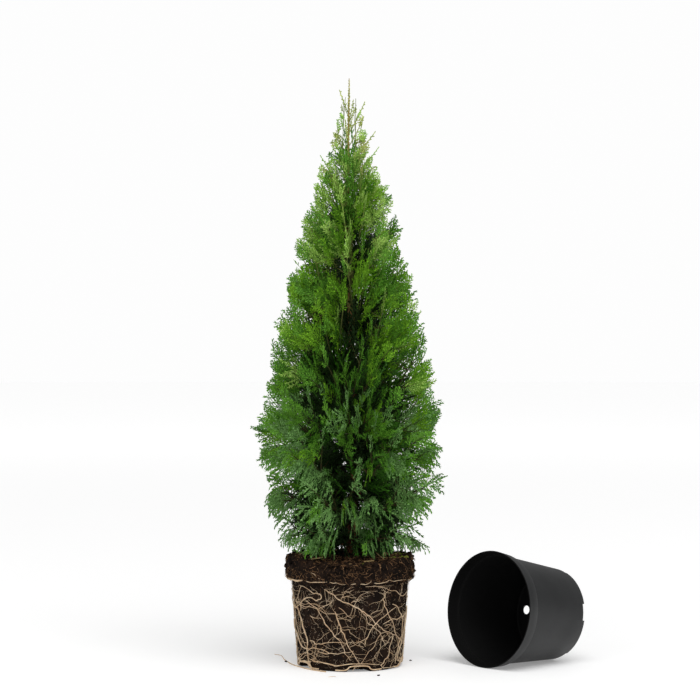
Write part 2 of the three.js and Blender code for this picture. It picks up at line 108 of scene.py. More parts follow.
def unit(vectors: np.ndarray) -> np.ndarray:
    """Vectors scaled to length 1."""
    return vectors / np.maximum(np.linalg.norm(vectors, axis=-1, keepdims=True), 1e-9)


def polar(r: float, turn: float, z: float) -> np.ndarray:
    """The point at a radius, an angle in radians and a height."""
    return np.array([r * math.cos(turn), r * math.sin(turn), z])


def ring(r: Any, turn: np.ndarray, z: Any) -> np.ndarray:
    """Points at radii, angles in radians and heights, one a row."""
    return np.stack([r * np.cos(turn), r * np.sin(turn), z + 0 * turn], axis=-1)


def nearest_on(begin: np.ndarray, end: np.ndarray, place: np.ndarray) -> np.ndarray:
    """The point nearest to a place in the first nine tenths of a line."""
    line = end - begin
    return begin + line * clamp(float((place - begin) @ line / (line @ line)), 0, 0.9)


def tapered(points: list[np.ndarray], thick: float, thin: float) -> Path:
    """A path whose radius runs evenly from thick to thin."""
    count = len(points) - 1
    return points, [lerp(thick, thin, i / count) for i in range(count + 1)]


def linear(red: int, green: int, blue: int) -> tuple[float, float, float, float]:
    """A screen colour from 0 to 255 as the linear colour that shaders take.

    Args:
        red: Red, from 0 to 255.
        green: Green.
        blue: Blue.

    Returns:
        Red, green, blue and alpha, from 0 to 1.
    """
    def channel(c: int) -> float:
        """One channel's linear value."""
        share = c / 255
        return share / 12.92 if share <= 0.04045 else ((share + 0.055) / 1.055) ** 2.4
    return channel(red), channel(green), channel(blue), 1.0


def linked(name: str, mesh: bpy.types.Mesh) -> bpy.types.Object:
    """A new object with a mesh, in the scene.

    Args:
        name: The object's name.
        mesh: Its mesh, in metres and already in place.

    Returns:
        The object.
    """
    obj = bpy.data.objects.new(name, mesh)
    bpy.context.scene.collection.objects.link(obj)
    return obj


def mesh_of(name: str, places: np.ndarray, faces: Any = (), edges: Any = ()) -> bpy.types.Mesh:
    """A mesh from points in millimetres.

    Args:
        name: The mesh's name.
        places: Points, one a row, in millimetres.
        faces: Corners of each face.
        edges: Ends of each loose edge.

    Returns:
        The mesh, in metres.
    """
    mesh = bpy.data.meshes.new(name)
    mesh.from_pydata((np.asarray(places) * MM).tolist(), list(edges), list(faces))
    mesh.update()
    return mesh


def outward(mesh: bpy.types.Mesh) -> None:
    """Turns a closed mesh's faces to point outwards, if they point inwards.

    Args:
        mesh: The mesh.
    """
    work = bmesh.new()
    work.from_mesh(mesh)
    if work.calc_volume(signed=True) < 0:
        bmesh.ops.reverse_faces(work, faces=work.faces)
        work.to_mesh(mesh)
    work.free()


def quads(rings: int, columns: int) -> list[tuple[int, ...]]:
    """Faces between rings of points, each ring joined to the next.

    Args:
        rings: How many rings there are.
        columns: How many points a ring has.

    Returns:
        The corners of each face.
    """
    after = [(k + 1) % columns for k in range(columns)]
    return [
        (i + k, i + j, i + columns + j, i + columns + k)
        for i in range(0, (rings - 1) * columns, columns)
        for k, j in enumerate(after)
    ]


def turned_skin(name: str, rings: list[np.ndarray], low: float, high: float) -> bpy.types.Mesh:
    """A closed skin from rings of points, with a point on the axis at either end.

    Args:
        name: The mesh's name.
        rings: The rings, in millimetres.
        low: Height of the point inside the first ring.
        high: Height of the point inside the last ring.

    Returns:
        The mesh, in metres.
    """
    n = len(rings[0])
    last = (len(rings) - 1) * n
    points = np.concatenate([*rings, [[0, 0, low], [0, 0, high]]])
    faces = quads(len(rings), n)
    faces += [((k + 1) % n, k, len(points) - 2) for k in range(n)]
    faces += [(last + k, last + (k + 1) % n, len(points) - 1) for k in range(n)]
    return mesh_of(name, points, faces)


# ---------------------------------------------------------------- node trees


class Graph:
    """A node tree that is laid out node by node."""

    def __init__(self, tree: bpy.types.NodeTree) -> None:
        """Works on a tree."""
        self.tree = tree

    def sockets(self, way: str, kinds: dict[str, str]) -> None:
        """Adds the tree's inputs or outputs, each with its name and kind."""
        for label, kind in kinds.items():
            self.tree.interface.new_socket(name=label, in_out=way, socket_type="NodeSocket" + kind)

    def add(self, kind: str, inputs: dict[Any, Any] | None = None, **settings: Any) -> bpy.types.Node:
        """Adds a node.

        Args:
            kind: The node's type.
            inputs: Values or output sockets for its inputs, by name or number.
            settings: The node's own settings.

        Returns:
            The node.
        """
        node = self.tree.nodes.new(kind)
        for key, value in settings.items():
            setattr(node, key, value)
        for key, value in (inputs or {}).items():
            if isinstance(value, bpy.types.NodeSocket):
                self.tree.links.new(value, node.inputs[key])
            else:
                node.inputs[key].default_value = value
        return node

    def out(self, kind: str, inputs: dict[Any, Any] | None = None, **settings: Any) -> Any:
        """Adds a node and returns its first output."""
        return self.add(kind, inputs, **settings).outputs[0]

    def math(self, operation: str, a: Any, b: Any = 0.0) -> bpy.types.NodeSocket:
        """The output of a Math node on two values or sockets."""
        return self.out("ShaderNodeMath", {0: a, 1: b}, operation=operation)

    def ranged(self, value: Any, *ends: Any) -> bpy.types.NodeSocket:
        """A value mapped from the range of the first two ends to 0 to 1, or to the next two."""
        return self.out("ShaderNodeMapRange", {0: value, **dict(enumerate(ends, 1))})

    def mixed(self, share: Any, low: Any, high: Any) -> bpy.types.NodeSocket:
        """The colour a share of the way from one colour to another."""
        inputs = {0: share, 6: low, 7: high}
        return self.add("ShaderNodeMix", inputs, data_type="RGBA").outputs[2]


class Growth:
    """A Geometry Nodes tree with named inputs, which ends in Realize Instances and Set Material."""

    def __init__(self, name: str, inputs: dict[str, str]) -> None:
        """Makes the tree and its sockets.

        Args:
            name: The tree's name.
            inputs: Kind of each input, by name.
        """
        self.tree = bpy.data.node_groups.new(name, "GeometryNodeTree")
        self.graph = Graph(self.tree)
        self.graph.sockets("INPUT", {"Geometry": "Geometry", **inputs, "Finish": "Material"})
        self.graph.sockets("OUTPUT", {"Geometry": "Geometry"})
        self.given = self.graph.add("NodeGroupInput").outputs

    def scattered(self, points: Any, shape: str, turn: Any, size: Any) -> bpy.types.NodeSocket:
        """Sets an input's object on points.

        Args:
            points: The points.
            shape: The input's name.
            turn: How each copy is turned.
            size: How each copy is scaled.

        Returns:
            The copies.
        """
        shown = self.graph.add("GeometryNodeObjectInfo", {"Object": self.given[shape]})
        copies = {"Instance": shown.outputs["Geometry"], "Rotation": turn, "Scale": size}
        return self.graph.out("GeometryNodeInstanceOnPoints", {"Points": points, **copies})

    def end(self, geometry: bpy.types.NodeSocket, smooth: bool) -> None:
        """Ends the tree: realized, shaded and with its material.

        Args:
            geometry: What the tree has made.
            smooth: True if its faces are shaded smooth.
        """
        out, finish = self.graph.out, self.given["Finish"]
        real = out("GeometryNodeRealizeInstances", {"Geometry": geometry})
        shaded = out("GeometryNodeSetShadeSmooth", {"Geometry": real, "Shade Smooth": smooth})
        dressed = out("GeometryNodeSetMaterial", {"Geometry": shaded, "Material": finish})
        self.graph.add("NodeGroupOutput", {"Geometry": dressed})

    def run(self, base: bpy.types.Object, name: str, values: dict[str, Any]) -> bpy.types.Object:
        """Grows a piece from a base object, which is used up.

        Args:
            base: The object that the tree works on.
            name: The piece's name.
            values: The tree's inputs, by name.

        Returns:
            The piece, as a plain mesh.
        """
        modifier = base.modifiers.new("growth", "NODES")
        modifier.node_group = self.tree
        for item in self.tree.interface.items_tree:
            if item.in_out == "INPUT" and item.name in values:
                modifier[item.identifier] = values[item.name]
        graph = bpy.context.evaluated_depsgraph_get()
        mesh = bpy.data.meshes.new_from_object(base.evaluated_get(graph), depsgraph=graph)
        for spare in ("way", "face", "size", "thick"):
            if spare in mesh.attributes:
                mesh.attributes.remove(mesh.attributes[spare])
        base.modifiers.remove(modifier)
        bpy.data.objects.remove(base)
        outward(mesh)
        return linked(name, mesh)


def leaf_growth() -> Growth:
    """Sets one leaf shape on every point, by its own way, face and size.

    Returns:
        The tree.
    """
    growth = Growth("leaf growth", {"Leaf": "Object"})
    out = growth.graph.out
    way, face, size = (
        out("GeometryNodeInputNamedAttribute", {"Name": name}, data_type="FLOAT_VECTOR")
        for name in ("way", "face", "size")
    )
    turn = out(
        "FunctionNodeAxesToRotation", {"Primary Axis": way, "Secondary Axis": face},
        primary_axis="X", secondary_axis="Z",
    )
    growth.end(growth.scattered(growth.given["Geometry"], "Leaf", turn, size), smooth=False)
    return growth


def tube_growth() -> Growth:
    """Turns chains of edges into round tubes, each as thick as its points say, with a rough skin.

    Returns:
        The tree.
    """
    growth = Growth("tube growth", {"Sides": "Int", "Relief": "Float", "Grain": "Float"})
    out, given = growth.graph.out, growth.given
    curve = out("GeometryNodeMeshToCurve", {"Mesh": given["Geometry"]})
    thick = out("GeometryNodeInputNamedAttribute", {"Name": "thick"}, data_type="FLOAT")
    circle = out("GeometryNodeCurvePrimitiveCircle", {"Resolution": given["Sides"], "Radius": 1.0})
    tube = out(
        "GeometryNodeCurveToMesh",
        {"Curve": curve, "Profile Curve": circle, "Scale": thick, "Fill Caps": True},
    )
    growth.end(roughened(growth, tube, (1.0, 1.0, 0.35)), smooth=True)
    return growth


def skin_growth(name: str, stretch: tuple[float, float, float]) -> Growth:
    """Roughens a closed skin along its normals.

    Args:
        name: The tree's name.
        stretch: How the pattern's space is scaled, so that grain can run along one axis.

    Returns:
        The tree.
    """
    growth = Growth(name, {"Relief": "Float", "Grain": "Float"})
    growth.end(roughened(growth, growth.given["Geometry"], stretch), smooth=True)
    return growth


def roughened(growth: Growth, geometry: Any, stretch: tuple[float, float, float]) -> Any:
    """Moves a tree's geometry along its normals by a coarse and a fine noise.

    Args:
        growth: The tree, with inputs Relief, a height in metres, and Grain, the noise's scale.
        geometry: What is to be roughened.
        stretch: How the noise's space is scaled.

    Returns:
        The roughened geometry.
    """
    out, calc, given = growth.graph.out, growth.graph.math, growth.given
    place = out("GeometryNodeInputPosition")
    space = out("ShaderNodeVectorMath", {0: place, 1: stretch}, operation="MULTIPLY")
    coarse, fine = (
        out("ShaderNodeTexNoise", {"Vector": space, "Scale": scale, "Detail": detail})
        for scale, detail in ((given["Grain"], 3.0), (calc("MULTIPLY", given["Grain"], 3.7), 2.0))
    )
    ripple = calc("MULTIPLY", calc("SUBTRACT", fine, 0.5), 0.6)
    both = calc("ADD", calc("SUBTRACT", coarse, 0.5), ripple)
    height = calc("MULTIPLY", both, calc("MULTIPLY", given["Relief"], 2.0))
    normal = out("GeometryNodeInputNormal")
    offset = out("ShaderNodeVectorMath", {0: normal, "Scale": height}, operation="SCALE")
    return out("GeometryNodeSetPosition", {"Geometry": geometry, "Offset": offset})


def crumb_growth() -> Growth:
    """Scatters one small shape over a skin between two heights, turned and sized at random.

    Returns:
        The tree.
    """
    numbers = dict.fromkeys(("Density", "Low", "High", "Smallest", "Largest"), "Float")
    growth = Growth("crumb growth", {"Crumb": "Object", "Seed": "Int", **numbers})
    out, calc, given = growth.graph.out, growth.graph.math, growth.given
    place = out("GeometryNodeInputPosition")
    height = growth.graph.add("ShaderNodeSeparateXYZ", {0: place}).outputs["Z"]
    above = calc("GREATER_THAN", height, given["Low"])
    below = calc("LESS_THAN", height, given["High"])
    density = calc("MULTIPLY", given["Density"], calc("MULTIPLY", above, below))
    points = out(
        "GeometryNodeDistributePointsOnFaces",
        {"Mesh": given["Geometry"], "Density": density, "Seed": given["Seed"]},
    )
    full_turn = (6.28, 6.28, 6.28)
    spin = out(
        "FunctionNodeRandomValue", {0: (0, 0, 0), 1: full_turn, "Seed": 3}, data_type="FLOAT_VECTOR"
    )
    random = growth.graph.add("FunctionNodeRandomValue", {"Seed": 5}, data_type="FLOAT")
    small = calc("POWER", random.outputs[1], 2.2)
    width = calc("SUBTRACT", given["Largest"], given["Smallest"])
    size = calc("ADD", given["Smallest"], calc("MULTIPLY", small, width))
    growth.end(growth.scattered(points, "Crumb", spin, size), smooth=False)
    return growth


# ---------------------------------------------------------------- finishes


class ShaderEffect:
    """A shader node group with named sockets."""

    name: str
    inputs: dict[str, str]
    outputs: dict[str, str]

    @classmethod
    def lay(cls, graph: Graph, given: Any) -> dict[str, bpy.types.NodeSocket]:
        """Lays the group's nodes out between its inputs and the sockets that it returns."""
        raise NotImplementedError

    @classmethod
    def group(cls) -> bpy.types.NodeTree:
        """The node group, made on first use.

        Returns:
            The group.
        """
        if cls.name in bpy.data.node_groups:
            return bpy.data.node_groups[cls.name]
        graph = Graph(bpy.data.node_groups.new(cls.name, "ShaderNodeTree"))
        graph.sockets("INPUT", cls.inputs)
        graph.sockets("OUTPUT", cls.outputs)
        graph.add("NodeGroupOutput", cls.lay(graph, graph.add("NodeGroupInput").outputs))
        return graph.tree


class Speckle(ShaderEffect):
    """A tint that varies in patches and in specks, and the roughness and bumps that go with it."""

    name = "speckle"
    inputs = {
        **dict.fromkeys(("Base", "Patch", "Speck"), "Color"),
        **dict.fromkeys(("Patch Scale", "Speck Scale", "Speck Share", "Detail"), "Float"),
        **dict.fromkeys(("Roughness", "Bump", "Bump Depth"), "Float"),
        "Stretch": "Vector",
    }
    outputs = {"Color": "Color", "Roughness": "Float", "Normal": "Vector"}
    patch_edges = (0.38, 0.62)  # of the patches' noise
    speck_edge = 0.72  # of the specks' noise, where there are none
    speck_blur = 0.06
    roughness_range = 0.08  # either way

    @classmethod
    def lay(cls, graph: Graph, given: Any) -> dict[str, bpy.types.NodeSocket]:
        """Lays the group's nodes out.

        Args:
            graph: The group's tree.
            given: Its inputs.

        Returns:
            What goes to each output, by name.
        """
        calc = graph.math
        place = graph.add("ShaderNodeTexCoord").outputs["Object"]
        stretch = {0: place, 1: given["Stretch"]}
        space = graph.out("ShaderNodeVectorMath", stretch, operation="MULTIPLY")
        patch, speck = (
            graph.out(
                "ShaderNodeTexNoise",
                {"Vector": space, "Scale": given[scale], "Detail": given["Detail"]},
            )
            for scale in ("Patch Scale", "Speck Scale")
        )
        edge = calc("SUBTRACT", cls.speck_edge, calc("MULTIPLY", given["Speck Share"], 0.4))
        specky = graph.ranged(speck, edge, calc("ADD", edge, cls.speck_blur))
        patchy = graph.ranged(patch, *cls.patch_edges)
        tinted = graph.mixed(patchy, given["Base"], given["Patch"])
        height = calc("ADD", calc("MULTIPLY", speck, 0.6), calc("MULTIPLY", patch, 0.4))
        smoother = calc("SUBTRACT", given["Roughness"], cls.roughness_range)
        rougher = calc("ADD", given["Roughness"], cls.roughness_range)
        bump = {"Strength": given["Bump"], "Distance": given["Bump Depth"], "Height": height}
        return {
            "Color": graph.mixed(specky, tinted, given["Speck"]),
            "Roughness": graph.ranged(height, 0.3, 0.7, smoother, rougher),
            "Normal": graph.out("ShaderNodeBump", bump),
        }


class HeightTint(ShaderEffect):
    """A main colour and a colour of patches that change with the height above the floor."""

    name = "height_tint"
    inputs = {
        **dict.fromkeys(("Base", "Patch", "Upper Base", "Upper Patch"), "Color"),
        "From": "Float",
        "To": "Float",
    }
    outputs = {"Base": "Color", "Patch": "Color"}

    @classmethod
    def lay(cls, graph: Graph, given: Any) -> dict[str, bpy.types.NodeSocket]:
        """Lays the nodes of the blend out.

        Args:
            graph: The group's tree.
            given: Its inputs.

        Returns:
            What goes to each output, by name.
        """
        place = graph.add("ShaderNodeTexCoord").outputs["Object"]
        height = graph.add("ShaderNodeSeparateXYZ", {0: place}).outputs["Z"]
        share = graph.ranged(height, given["From"], given["To"])
        return {c: graph.mixed(share, given[c], given["Upper " + c]) for c in ("Base", "Patch")}


@dataclass(frozen=True)
class Finish:
    """A speckled natural or moulded surface."""

    name: str
    base: Colour
    patch: Colour
    speck: Colour
    patch_scale: float
    speck_scale: float
    speck_share: float
    roughness: float
    gloss: float
    bump: float
    bump_depth: float
    stretch: tuple[float, float, float] = (1.0, 1.0, 1.0)
    detail: float = 2.5
    upper: tuple[Colour, Colour] | None = None  # base and patch higher up
    upper_from: float = 0.3  # metres above the floor
    upper_to: float = 0.6

    def material(self) -> bpy.types.Material:
        """The finish's material, made on first use.

        Returns:
            The material.
        """
        if self.name in bpy.data.materials:
            return bpy.data.materials[self.name]
        made = bpy.data.materials.new(self.name)
        made.use_nodes = True
        graph = Graph(made.node_tree)
        shader = made.node_tree.nodes["Principled BSDF"]
        colours = {"Base": linear(*self.base), "Patch": linear(*self.patch)}
        if self.upper:
            upper = {"Upper Base": linear(*self.upper[0]), "Upper Patch": linear(*self.upper[1])}
            span = {"From": self.upper_from, "To": self.upper_to}
            tint = graph.add(
                "ShaderNodeGroup", {**colours, **upper, **span}, node_tree=HeightTint.group()
            )
            colours = {label: tint.outputs[label] for label in colours}
        speckle = graph.add(
            "ShaderNodeGroup",
            {
                **colours,
                "Speck": linear(*self.speck),
                "Patch Scale": self.patch_scale,
                "Speck Scale": self.speck_scale,
                "Speck Share": self.speck_share,
                "Stretch": self.stretch,
                "Detail": self.detail,
                "Roughness": self.roughness,
                "Bump": self.bump,
                "Bump Depth": self.bump_depth,
            },
            node_tree=Speckle.group(),
        )
        link = made.node_tree.links.new
        link(speckle.outputs["Color"], shader.inputs["Base Color"])
        link(speckle.outputs["Roughness"], shader.inputs["Roughness"])
        if self.bump:
            link(speckle.outputs["Normal"], shader.inputs["Normal"])
        shader.inputs["Specular IOR Level"].default_value = self.gloss
        made.diffuse_color = linear(*self.base)
        return made


def leaf_finish(name: str, base: Colour, patch: Colour) -> Finish:
    """A leaf finish from its main tint and the tint of its patches.

    Args:
        name: The finish's name.
        base: Its main tint.
        patch: The tint of its patches.

    Returns:
        The finish.
    """
    speck = tuple(min(255, int(c * 1.25) + 8) for c in base)
    return Finish(
        name, base, patch, speck, 26.0, 420.0, 0.3, 0.62, 0.18, 0.25, 0.0004, detail=0.0
    )


class Tint(Enum):
    """The tints that sprays of leaves are dealt; the darkest two are painted shade in the crown's
    heart.
    """

    OLIVE = "olive"
    FRESH = "fresh"
    BRIGHT = "bright"
    GREEN = "green"
    DEEP = "deep"
    BLUE = "blue"
    SHADE = "shade"


LEAF_FINISHES: dict[Tint, Finish] = {
    Tint.OLIVE: leaf_finish("leaf_olive", (146, 156, 84), (122, 140, 64)),
    Tint.FRESH: leaf_finish("leaf_fresh", (136, 169, 78), (112, 152, 56)),
    Tint.BRIGHT: leaf_finish("leaf_bright", (97, 143, 28), (78, 124, 20)),
    Tint.GREEN: leaf_finish("leaf_green", (79, 126, 34), (62, 108, 26)),
    # Painted shade: a dark green for fans deep inside the crown, where shade falls.
    Tint.DEEP: leaf_finish("leaf_shadowed", (43, 85, 13), (32, 68, 9)),
    Tint.BLUE: leaf_finish("leaf_blue", (101, 140, 76), (80, 119, 59)),
    # Painted shade: the darkest green, for the fans that fill the crown's heart.
    Tint.SHADE: leaf_finish("leaf_shade", (24, 44, 12), (18, 34, 9)),
}
TWIG = Finish(
    "twig", (48, 60, 24), (58, 45, 26), (96, 82, 50), 60, 500, 0.15, 0.7, 0.2, 0.3, 0.0004,
    upper=((116, 130, 62), (104, 116, 54)), upper_from=0.45, upper_to=0.75,
)
BARK = Finish(
    "bark_fibre", (70, 40, 27), (46, 28, 20), (128, 88, 60), 40, 260, 0.42, 0.88, 0.15, 0.8, 0.0012,
    (1, 1, 0.14), upper=((158, 126, 82), (130, 98, 62)),
)
PEAT = Finish(
    "peat", (35, 25, 19), (19, 14, 11), (112, 82, 56), 60, 420, 0.16, 0.96, 0.08, 1.0, 0.0016
)
CRUMB = Finish(
    "peat_crumb", (46, 32, 23), (24, 17, 12), (130, 98, 68), 90, 500, 0.24, 0.96, 0.08, 0.7, 0.0008
)
ROOT = Finish(
    "root", (208, 184, 152), (184, 154, 120), (230, 212, 184), 70, 600, 0.3, 0.75, 0.2, 0.4, 0.0003
)
HAIR = Finish(
    "root_hair", (222, 202, 176), (194, 168, 138), (238, 224, 204), 70, 600, 0.3, 0.85, 0.1, 0, 0.0002
)
FIBRE = Finish(
    "peat_fibre", (126, 94, 66), (82, 60, 42), (178, 144, 106), 80, 600, 0.3, 0.9, 0.1, 0, 0.0002
)
STRAW = Finish(
    "straw", (205, 178, 128), (176, 146, 98), (226, 206, 164), 50, 400, 0.3, 0.8, 0.2, 0.3, 0.0003
)
MOSS = Finish(
    "moss", (86, 108, 34), (108, 112, 46), (136, 150, 60), 90, 700, 0.4, 0.95, 0.05, 0.8, 0.0006
)
PLASTIC = Finish(
    "pot_plastic", (22, 23, 24), (18, 19, 20), (40, 38, 36), 18, 900, 0.06, 0.5, 0.36, 0.12, 0.0002
)
# Painted shade: the same black plastic, darker and less glossy, for the pot's inner faces and the top
# of its rim.
PLASTIC_PAINTED_SHADE = Finish(
    "pot_painted_shade", (7, 7, 7), (5, 5, 5), (12, 12, 12), 18, 900, 0.06, 0.7, 0.12, 0.12, 0.0002
)


# ---------------------------------------------------------------- the plant's rule


@dataclass(frozen=True)
class Tier:
    """A storey of the crown: it lies above the cone z = foot + slope * radius."""

    foot: float
    slope: float
    sectors: int
    turn: float
    sprays: int
    bough: bool


@dataclass(frozen=True)
class Trunk:
    """The trunk's run from its flared foot to the tip of the leader."""

    foot: float = 178.7
    top: float = 949
    foot_x: float = 5
    tip_x: float = -3
    sway: float = 3
    foot_y: float = -1
    tip_y: float = 2
    radius: float = 9
    tip_radius: float = 1.1
    flare_radius: float = 18
    flare_height: float = 26

    def at(self, z: Any) -> np.ndarray:
        """Middle of the trunk at one height or at several.

        Args:
            z: The height or heights.

        Returns:
            The point at each, one a row.
        """
        t = np.clip((np.asarray(z, float) - self.foot) / (self.top - self.foot), 0, 1)
        sway = self.sway * np.sin(2.2 * np.pi * t)
        x = self.foot_x + (self.tip_x - self.foot_x) * t + sway
        y = self.foot_y + (self.tip_y - self.foot_y) * t - 0.6 * sway
        return np.stack([x, y, np.asarray(z, float) + 0 * t], axis=-1)

    def radius_at(self, z: Any) -> Any:
        """Radius of the trunk at a height, with the flare of its foot.

        Args:
            z: The height or heights.

        Returns:
            The radius at each.
        """
        t = np.clip((np.asarray(z, float) - self.foot) / (self.top - self.foot), 0, 1)
        flare = np.maximum(0, 1 - (np.asarray(z, float) - self.foot) / self.flare_height)
        plain = self.radius + (self.tip_radius - self.radius) * t**0.8
        return plain + (self.flare_radius - self.radius) * flare**2


@dataclass(frozen=True)
class Tip:
    """Where a spray ends: its angle in radians, height and radius, and its own width if any."""

    angle: float
    height: float
    reach: float
    width: float | None = None


@dataclass
class Mass:
    """One mass of the crown."""

    tier: int
    angle: float  # the middle of its sector, in radians
    half: float  # half its sector's angle
    seed: int  # as in the frame's solids
    reach: float  # the radius at which its tier ends
    random: Seeded = field(init=False)  # the numbers of its fans

    def __post_init__(self) -> None:
        """Starts the mass's numbers."""
        self.random = Seeded(self.seed + 5000)


@dataclass(frozen=True)
class Crown:
    """The crown's outline and the rule that parts it into tiers, sectors and sprays."""

    outline: tuple[tuple[float, float], ...] = (
        (186, 104), (235, 122), (305, 141), (385, 146), (450, 132), (500, 127), (575, 107),
        (613, 98), (690, 80), (790, 57), (825, 48), (855, 36), (880, 23), (930, 17), (960, 6),
    )
    tiers: tuple[Tier, ...] = (
        Tier(186, 0.0, 5, 18, 5, True),
        Tier(205, 0.36, 5, 36, 6, True),
        Tier(238, 0.6, 5, 10, 6, True),
        Tier(276, 0.85, 5, 66, 6, False),
        Tier(322, 1.05, 4, 0, 6, False),
        Tier(378, 1.3, 4, 52, 6, False),
        Tier(446, 1.6, 4, 15, 6, False),
        Tier(528, 2.0, 3, 35, 5, False),
        Tier(625, 2.6, 3, 90, 4, False),
        Tier(715, 3.4, 2, 15, 3, False),
        Tier(800, 5.0, 2, -5, 0, False),
    )
    leafy: tuple[tuple[float, float], ...] = (
        (182, 90), (204, 100), (243, 117), (282, 127), (321, 136), (399, 138), (438, 127),
        (515, 118), (554, 114), (593, 100), (632, 91), (671, 81), (710, 71), (749, 60), (787, 50),
        (826, 33), (865, 20), (904, 14), (949, 5),
    )  # where the leaves of most fans end
    top: float = 960
    tallest: float = 150
    singles: tuple[tuple[float, ...], ...] = (
        (2, 304, 156), (181, 379, 150), (-4, 191, 127), (176, 240, 128), (92, 300, 150),
        (268, 330, 148), (8, 838, 47, 13), (-6, 862, 41, 10), (187, 823, 48, 13),
        (172, 840, 30, 10), (4, 911, 24, 9), (14, 887, 23, 9), (178, 930, 17, 8), (166, 890, 18, 9),
        (-70, 900, 19, 9), (-110, 879, 21, 9), (72, 916, 18, 9), (112, 884, 21, 9),
    )
    core_start: float = 0.1
    core_end: float = 0.72
    leaf_floor: float = 180  # no leaf lies lower
    bark_gap: float = 1.5  # between the trunk and any leaf
    trunk: Trunk = field(default_factory=Trunk)

    def radius(self, z: Any) -> Any:
        """Radius of the crown at a height."""
        return along(self.outline, z)

    def leaf_radius(self, z: Any, turn: Any) -> Any:
        """Radius at which leaves end at a height and an angle: a ragged outline.

        Args:
            z: The height or heights.
            turn: The angles in radians.

        Returns:
            The radius at each.
        """
        wave = 0.05 * np.sin(np.asarray(z, float) * 0.11 + 3 * np.asarray(turn))
        wave = wave + 0.035 * np.sin(np.asarray(z, float) * 0.043 - 5 * np.asarray(turn) + 1)
        return along(self.leafy, z) * (1 + wave)

    def floor(self, tier: int, r: Any) -> Any:
        """A tier's floor at a radius."""
        return self.tiers[tier].foot + self.tiers[tier].slope * r

    def ceiling(self, tier: int, r: Any) -> Any:
        """A tier's ceiling at a radius: the next tier's floor."""
        return self.floor(tier + 1, r) if tier + 1 < len(self.tiers) else self.top + 0 * r

    def middle(self, tier: int, r: Any) -> Any:
        """The middle surface of a tier, where its stems and boughs run."""
        low = self.floor(tier, r)
        return (low + np.minimum(self.ceiling(tier, r), low + self.tallest)) / 2

    def place(self, tier: int, r: float, angle: float, height: float | None = None) -> np.ndarray:
        """A point of a tier, on its middle surface unless a height is given."""
        z = self.middle(tier, r) if height is None else height
        return polar(r, angle, z)

    def reach(self, tier: int) -> float:
        """The radius at which a tier's middle surface meets the outside of the crown.

        Args:
            tier: The tier.

        Returns:
            The radius.
        """
        r = 20.0
        while r < self.radius(self.middle(tier, r)):
            r += 1
        return r

    def start(self, tier: int, angle: float) -> float:
        """The radius at which a limb leaves the trunk.

        Args:
            tier: The tier.
            angle: The angle in radians.

        Returns:
            The radius.
        """
        z = self.middle(tier, 8)
        middle = self.trunk.at(z)
        return self.trunk.radius_at(z) + middle[0] * math.cos(angle) + middle[1] * math.sin(angle)

    def limb(
        self, tier: int, angle: float, end: float, steps: int, sag: float = 0
    ) -> list[np.ndarray]:
        """Points of a limb in a tier, from the trunk's middle to a radius.

        Args:
            tier: The tier.
            angle: The angle in radians.
            end: The radius where the limb ends.
            steps: How many points it has past the trunk.
            sag: How far its middle hangs.

        Returns:
            The points.
        """
        start = self.start(tier, angle) + 4
        foot = self.middle(tier, start) - 0.5 * (self.middle(tier, 20) - self.middle(tier, 10))
        points = [self.trunk.at(foot)]
        for i in range(steps):
            t = i / (steps - 1)
            p = self.place(tier, lerp(start, end, t), angle)
            p[2] -= sag * math.sin(math.pi * t)
            points.append(p)
        return points

    def tips(self, mass: Mass, random: Seeded) -> list[Tip]:
        """The tips of a mass's sprays, spread over its part of the crown's outside.

        Args:
            mass: The mass.
            random: The numbers that it draws from.

        Returns:
            The tips.
        """
        tips = []
        tier, angle, half, reach = mass.tier, mass.angle, mass.half, mass.reach
        count = self.tiers[tier].sprays
        for i in range(count):
            across = ((i + 0.5) / count) * 2 - 1 + random.between(-0.1, 0.1)
            a = angle + across * half * 0.86
            share = clamp(0.5 + 0.3 * (1 if i % 2 else -1) + random.between(-0.12, 0.12), 0.04, 0.96)
            r = reach
            z = self.middle(tier, r)
            for _ in range(6):
                top = min(self.ceiling(tier, r), self.floor(tier, r) + self.tallest)
                z = lerp(self.floor(tier, r) + 6, top - 6, share)
                r = float(self.radius(z))
            tips.append(Tip(a, z, r * random.between(0.98, 1.05)))
        for one in self.singles:
            off = turned_of(math.radians(one[0]) - angle)
            above = one[1] > self.floor(tier, one[2]) + 4
            below = one[1] < self.ceiling(tier, one[2]) - 4
            if above and below and abs(off) < half * 0.95:
                tips.append(Tip(angle + off, one[1], one[2], one[3] if len(one) > 3 else None))
        return tips

    def inside(self, mass: Mass, points: np.ndarray, spill: float, reach: float) -> np.ndarray:
        """Which points keep to a mass's space, clear of the trunk and within the crown's reach.

        Args:
            mass: The mass.
            points: Points, one a row.
            spill: How far a leaf may lie over its neighbour's space.
            reach: The reach of the spray that the leaf grows on.

        Returns:
            True or False for each point.
        """
        r = np.hypot(points[:, 0], points[:, 1])
        z = points[:, 2]
        kept = (z > self.floor(mass.tier, r) - spill) & (z < self.ceiling(mass.tier, r) + spill)
        turn = np.arctan2(points[:, 1], points[:, 0])
        off = turn - mass.angle
        off = mass.half - np.abs(np.arctan2(np.sin(off), np.cos(off)))
        kept &= r * np.sin(np.minimum(np.abs(off), np.pi / 2)) * np.sign(off) > -spill
        from_trunk = np.hypot(*(points - self.trunk.at(z))[:, :2].T)
        kept &= from_trunk > self.trunk.radius_at(z) + self.bark_gap
        kept &= r < np.maximum(self.leaf_radius(z, turn) * 1.05 + 4, reach + 2)
        return kept & (z > self.leaf_floor)



# ---------------------------------------------------------------- foliage


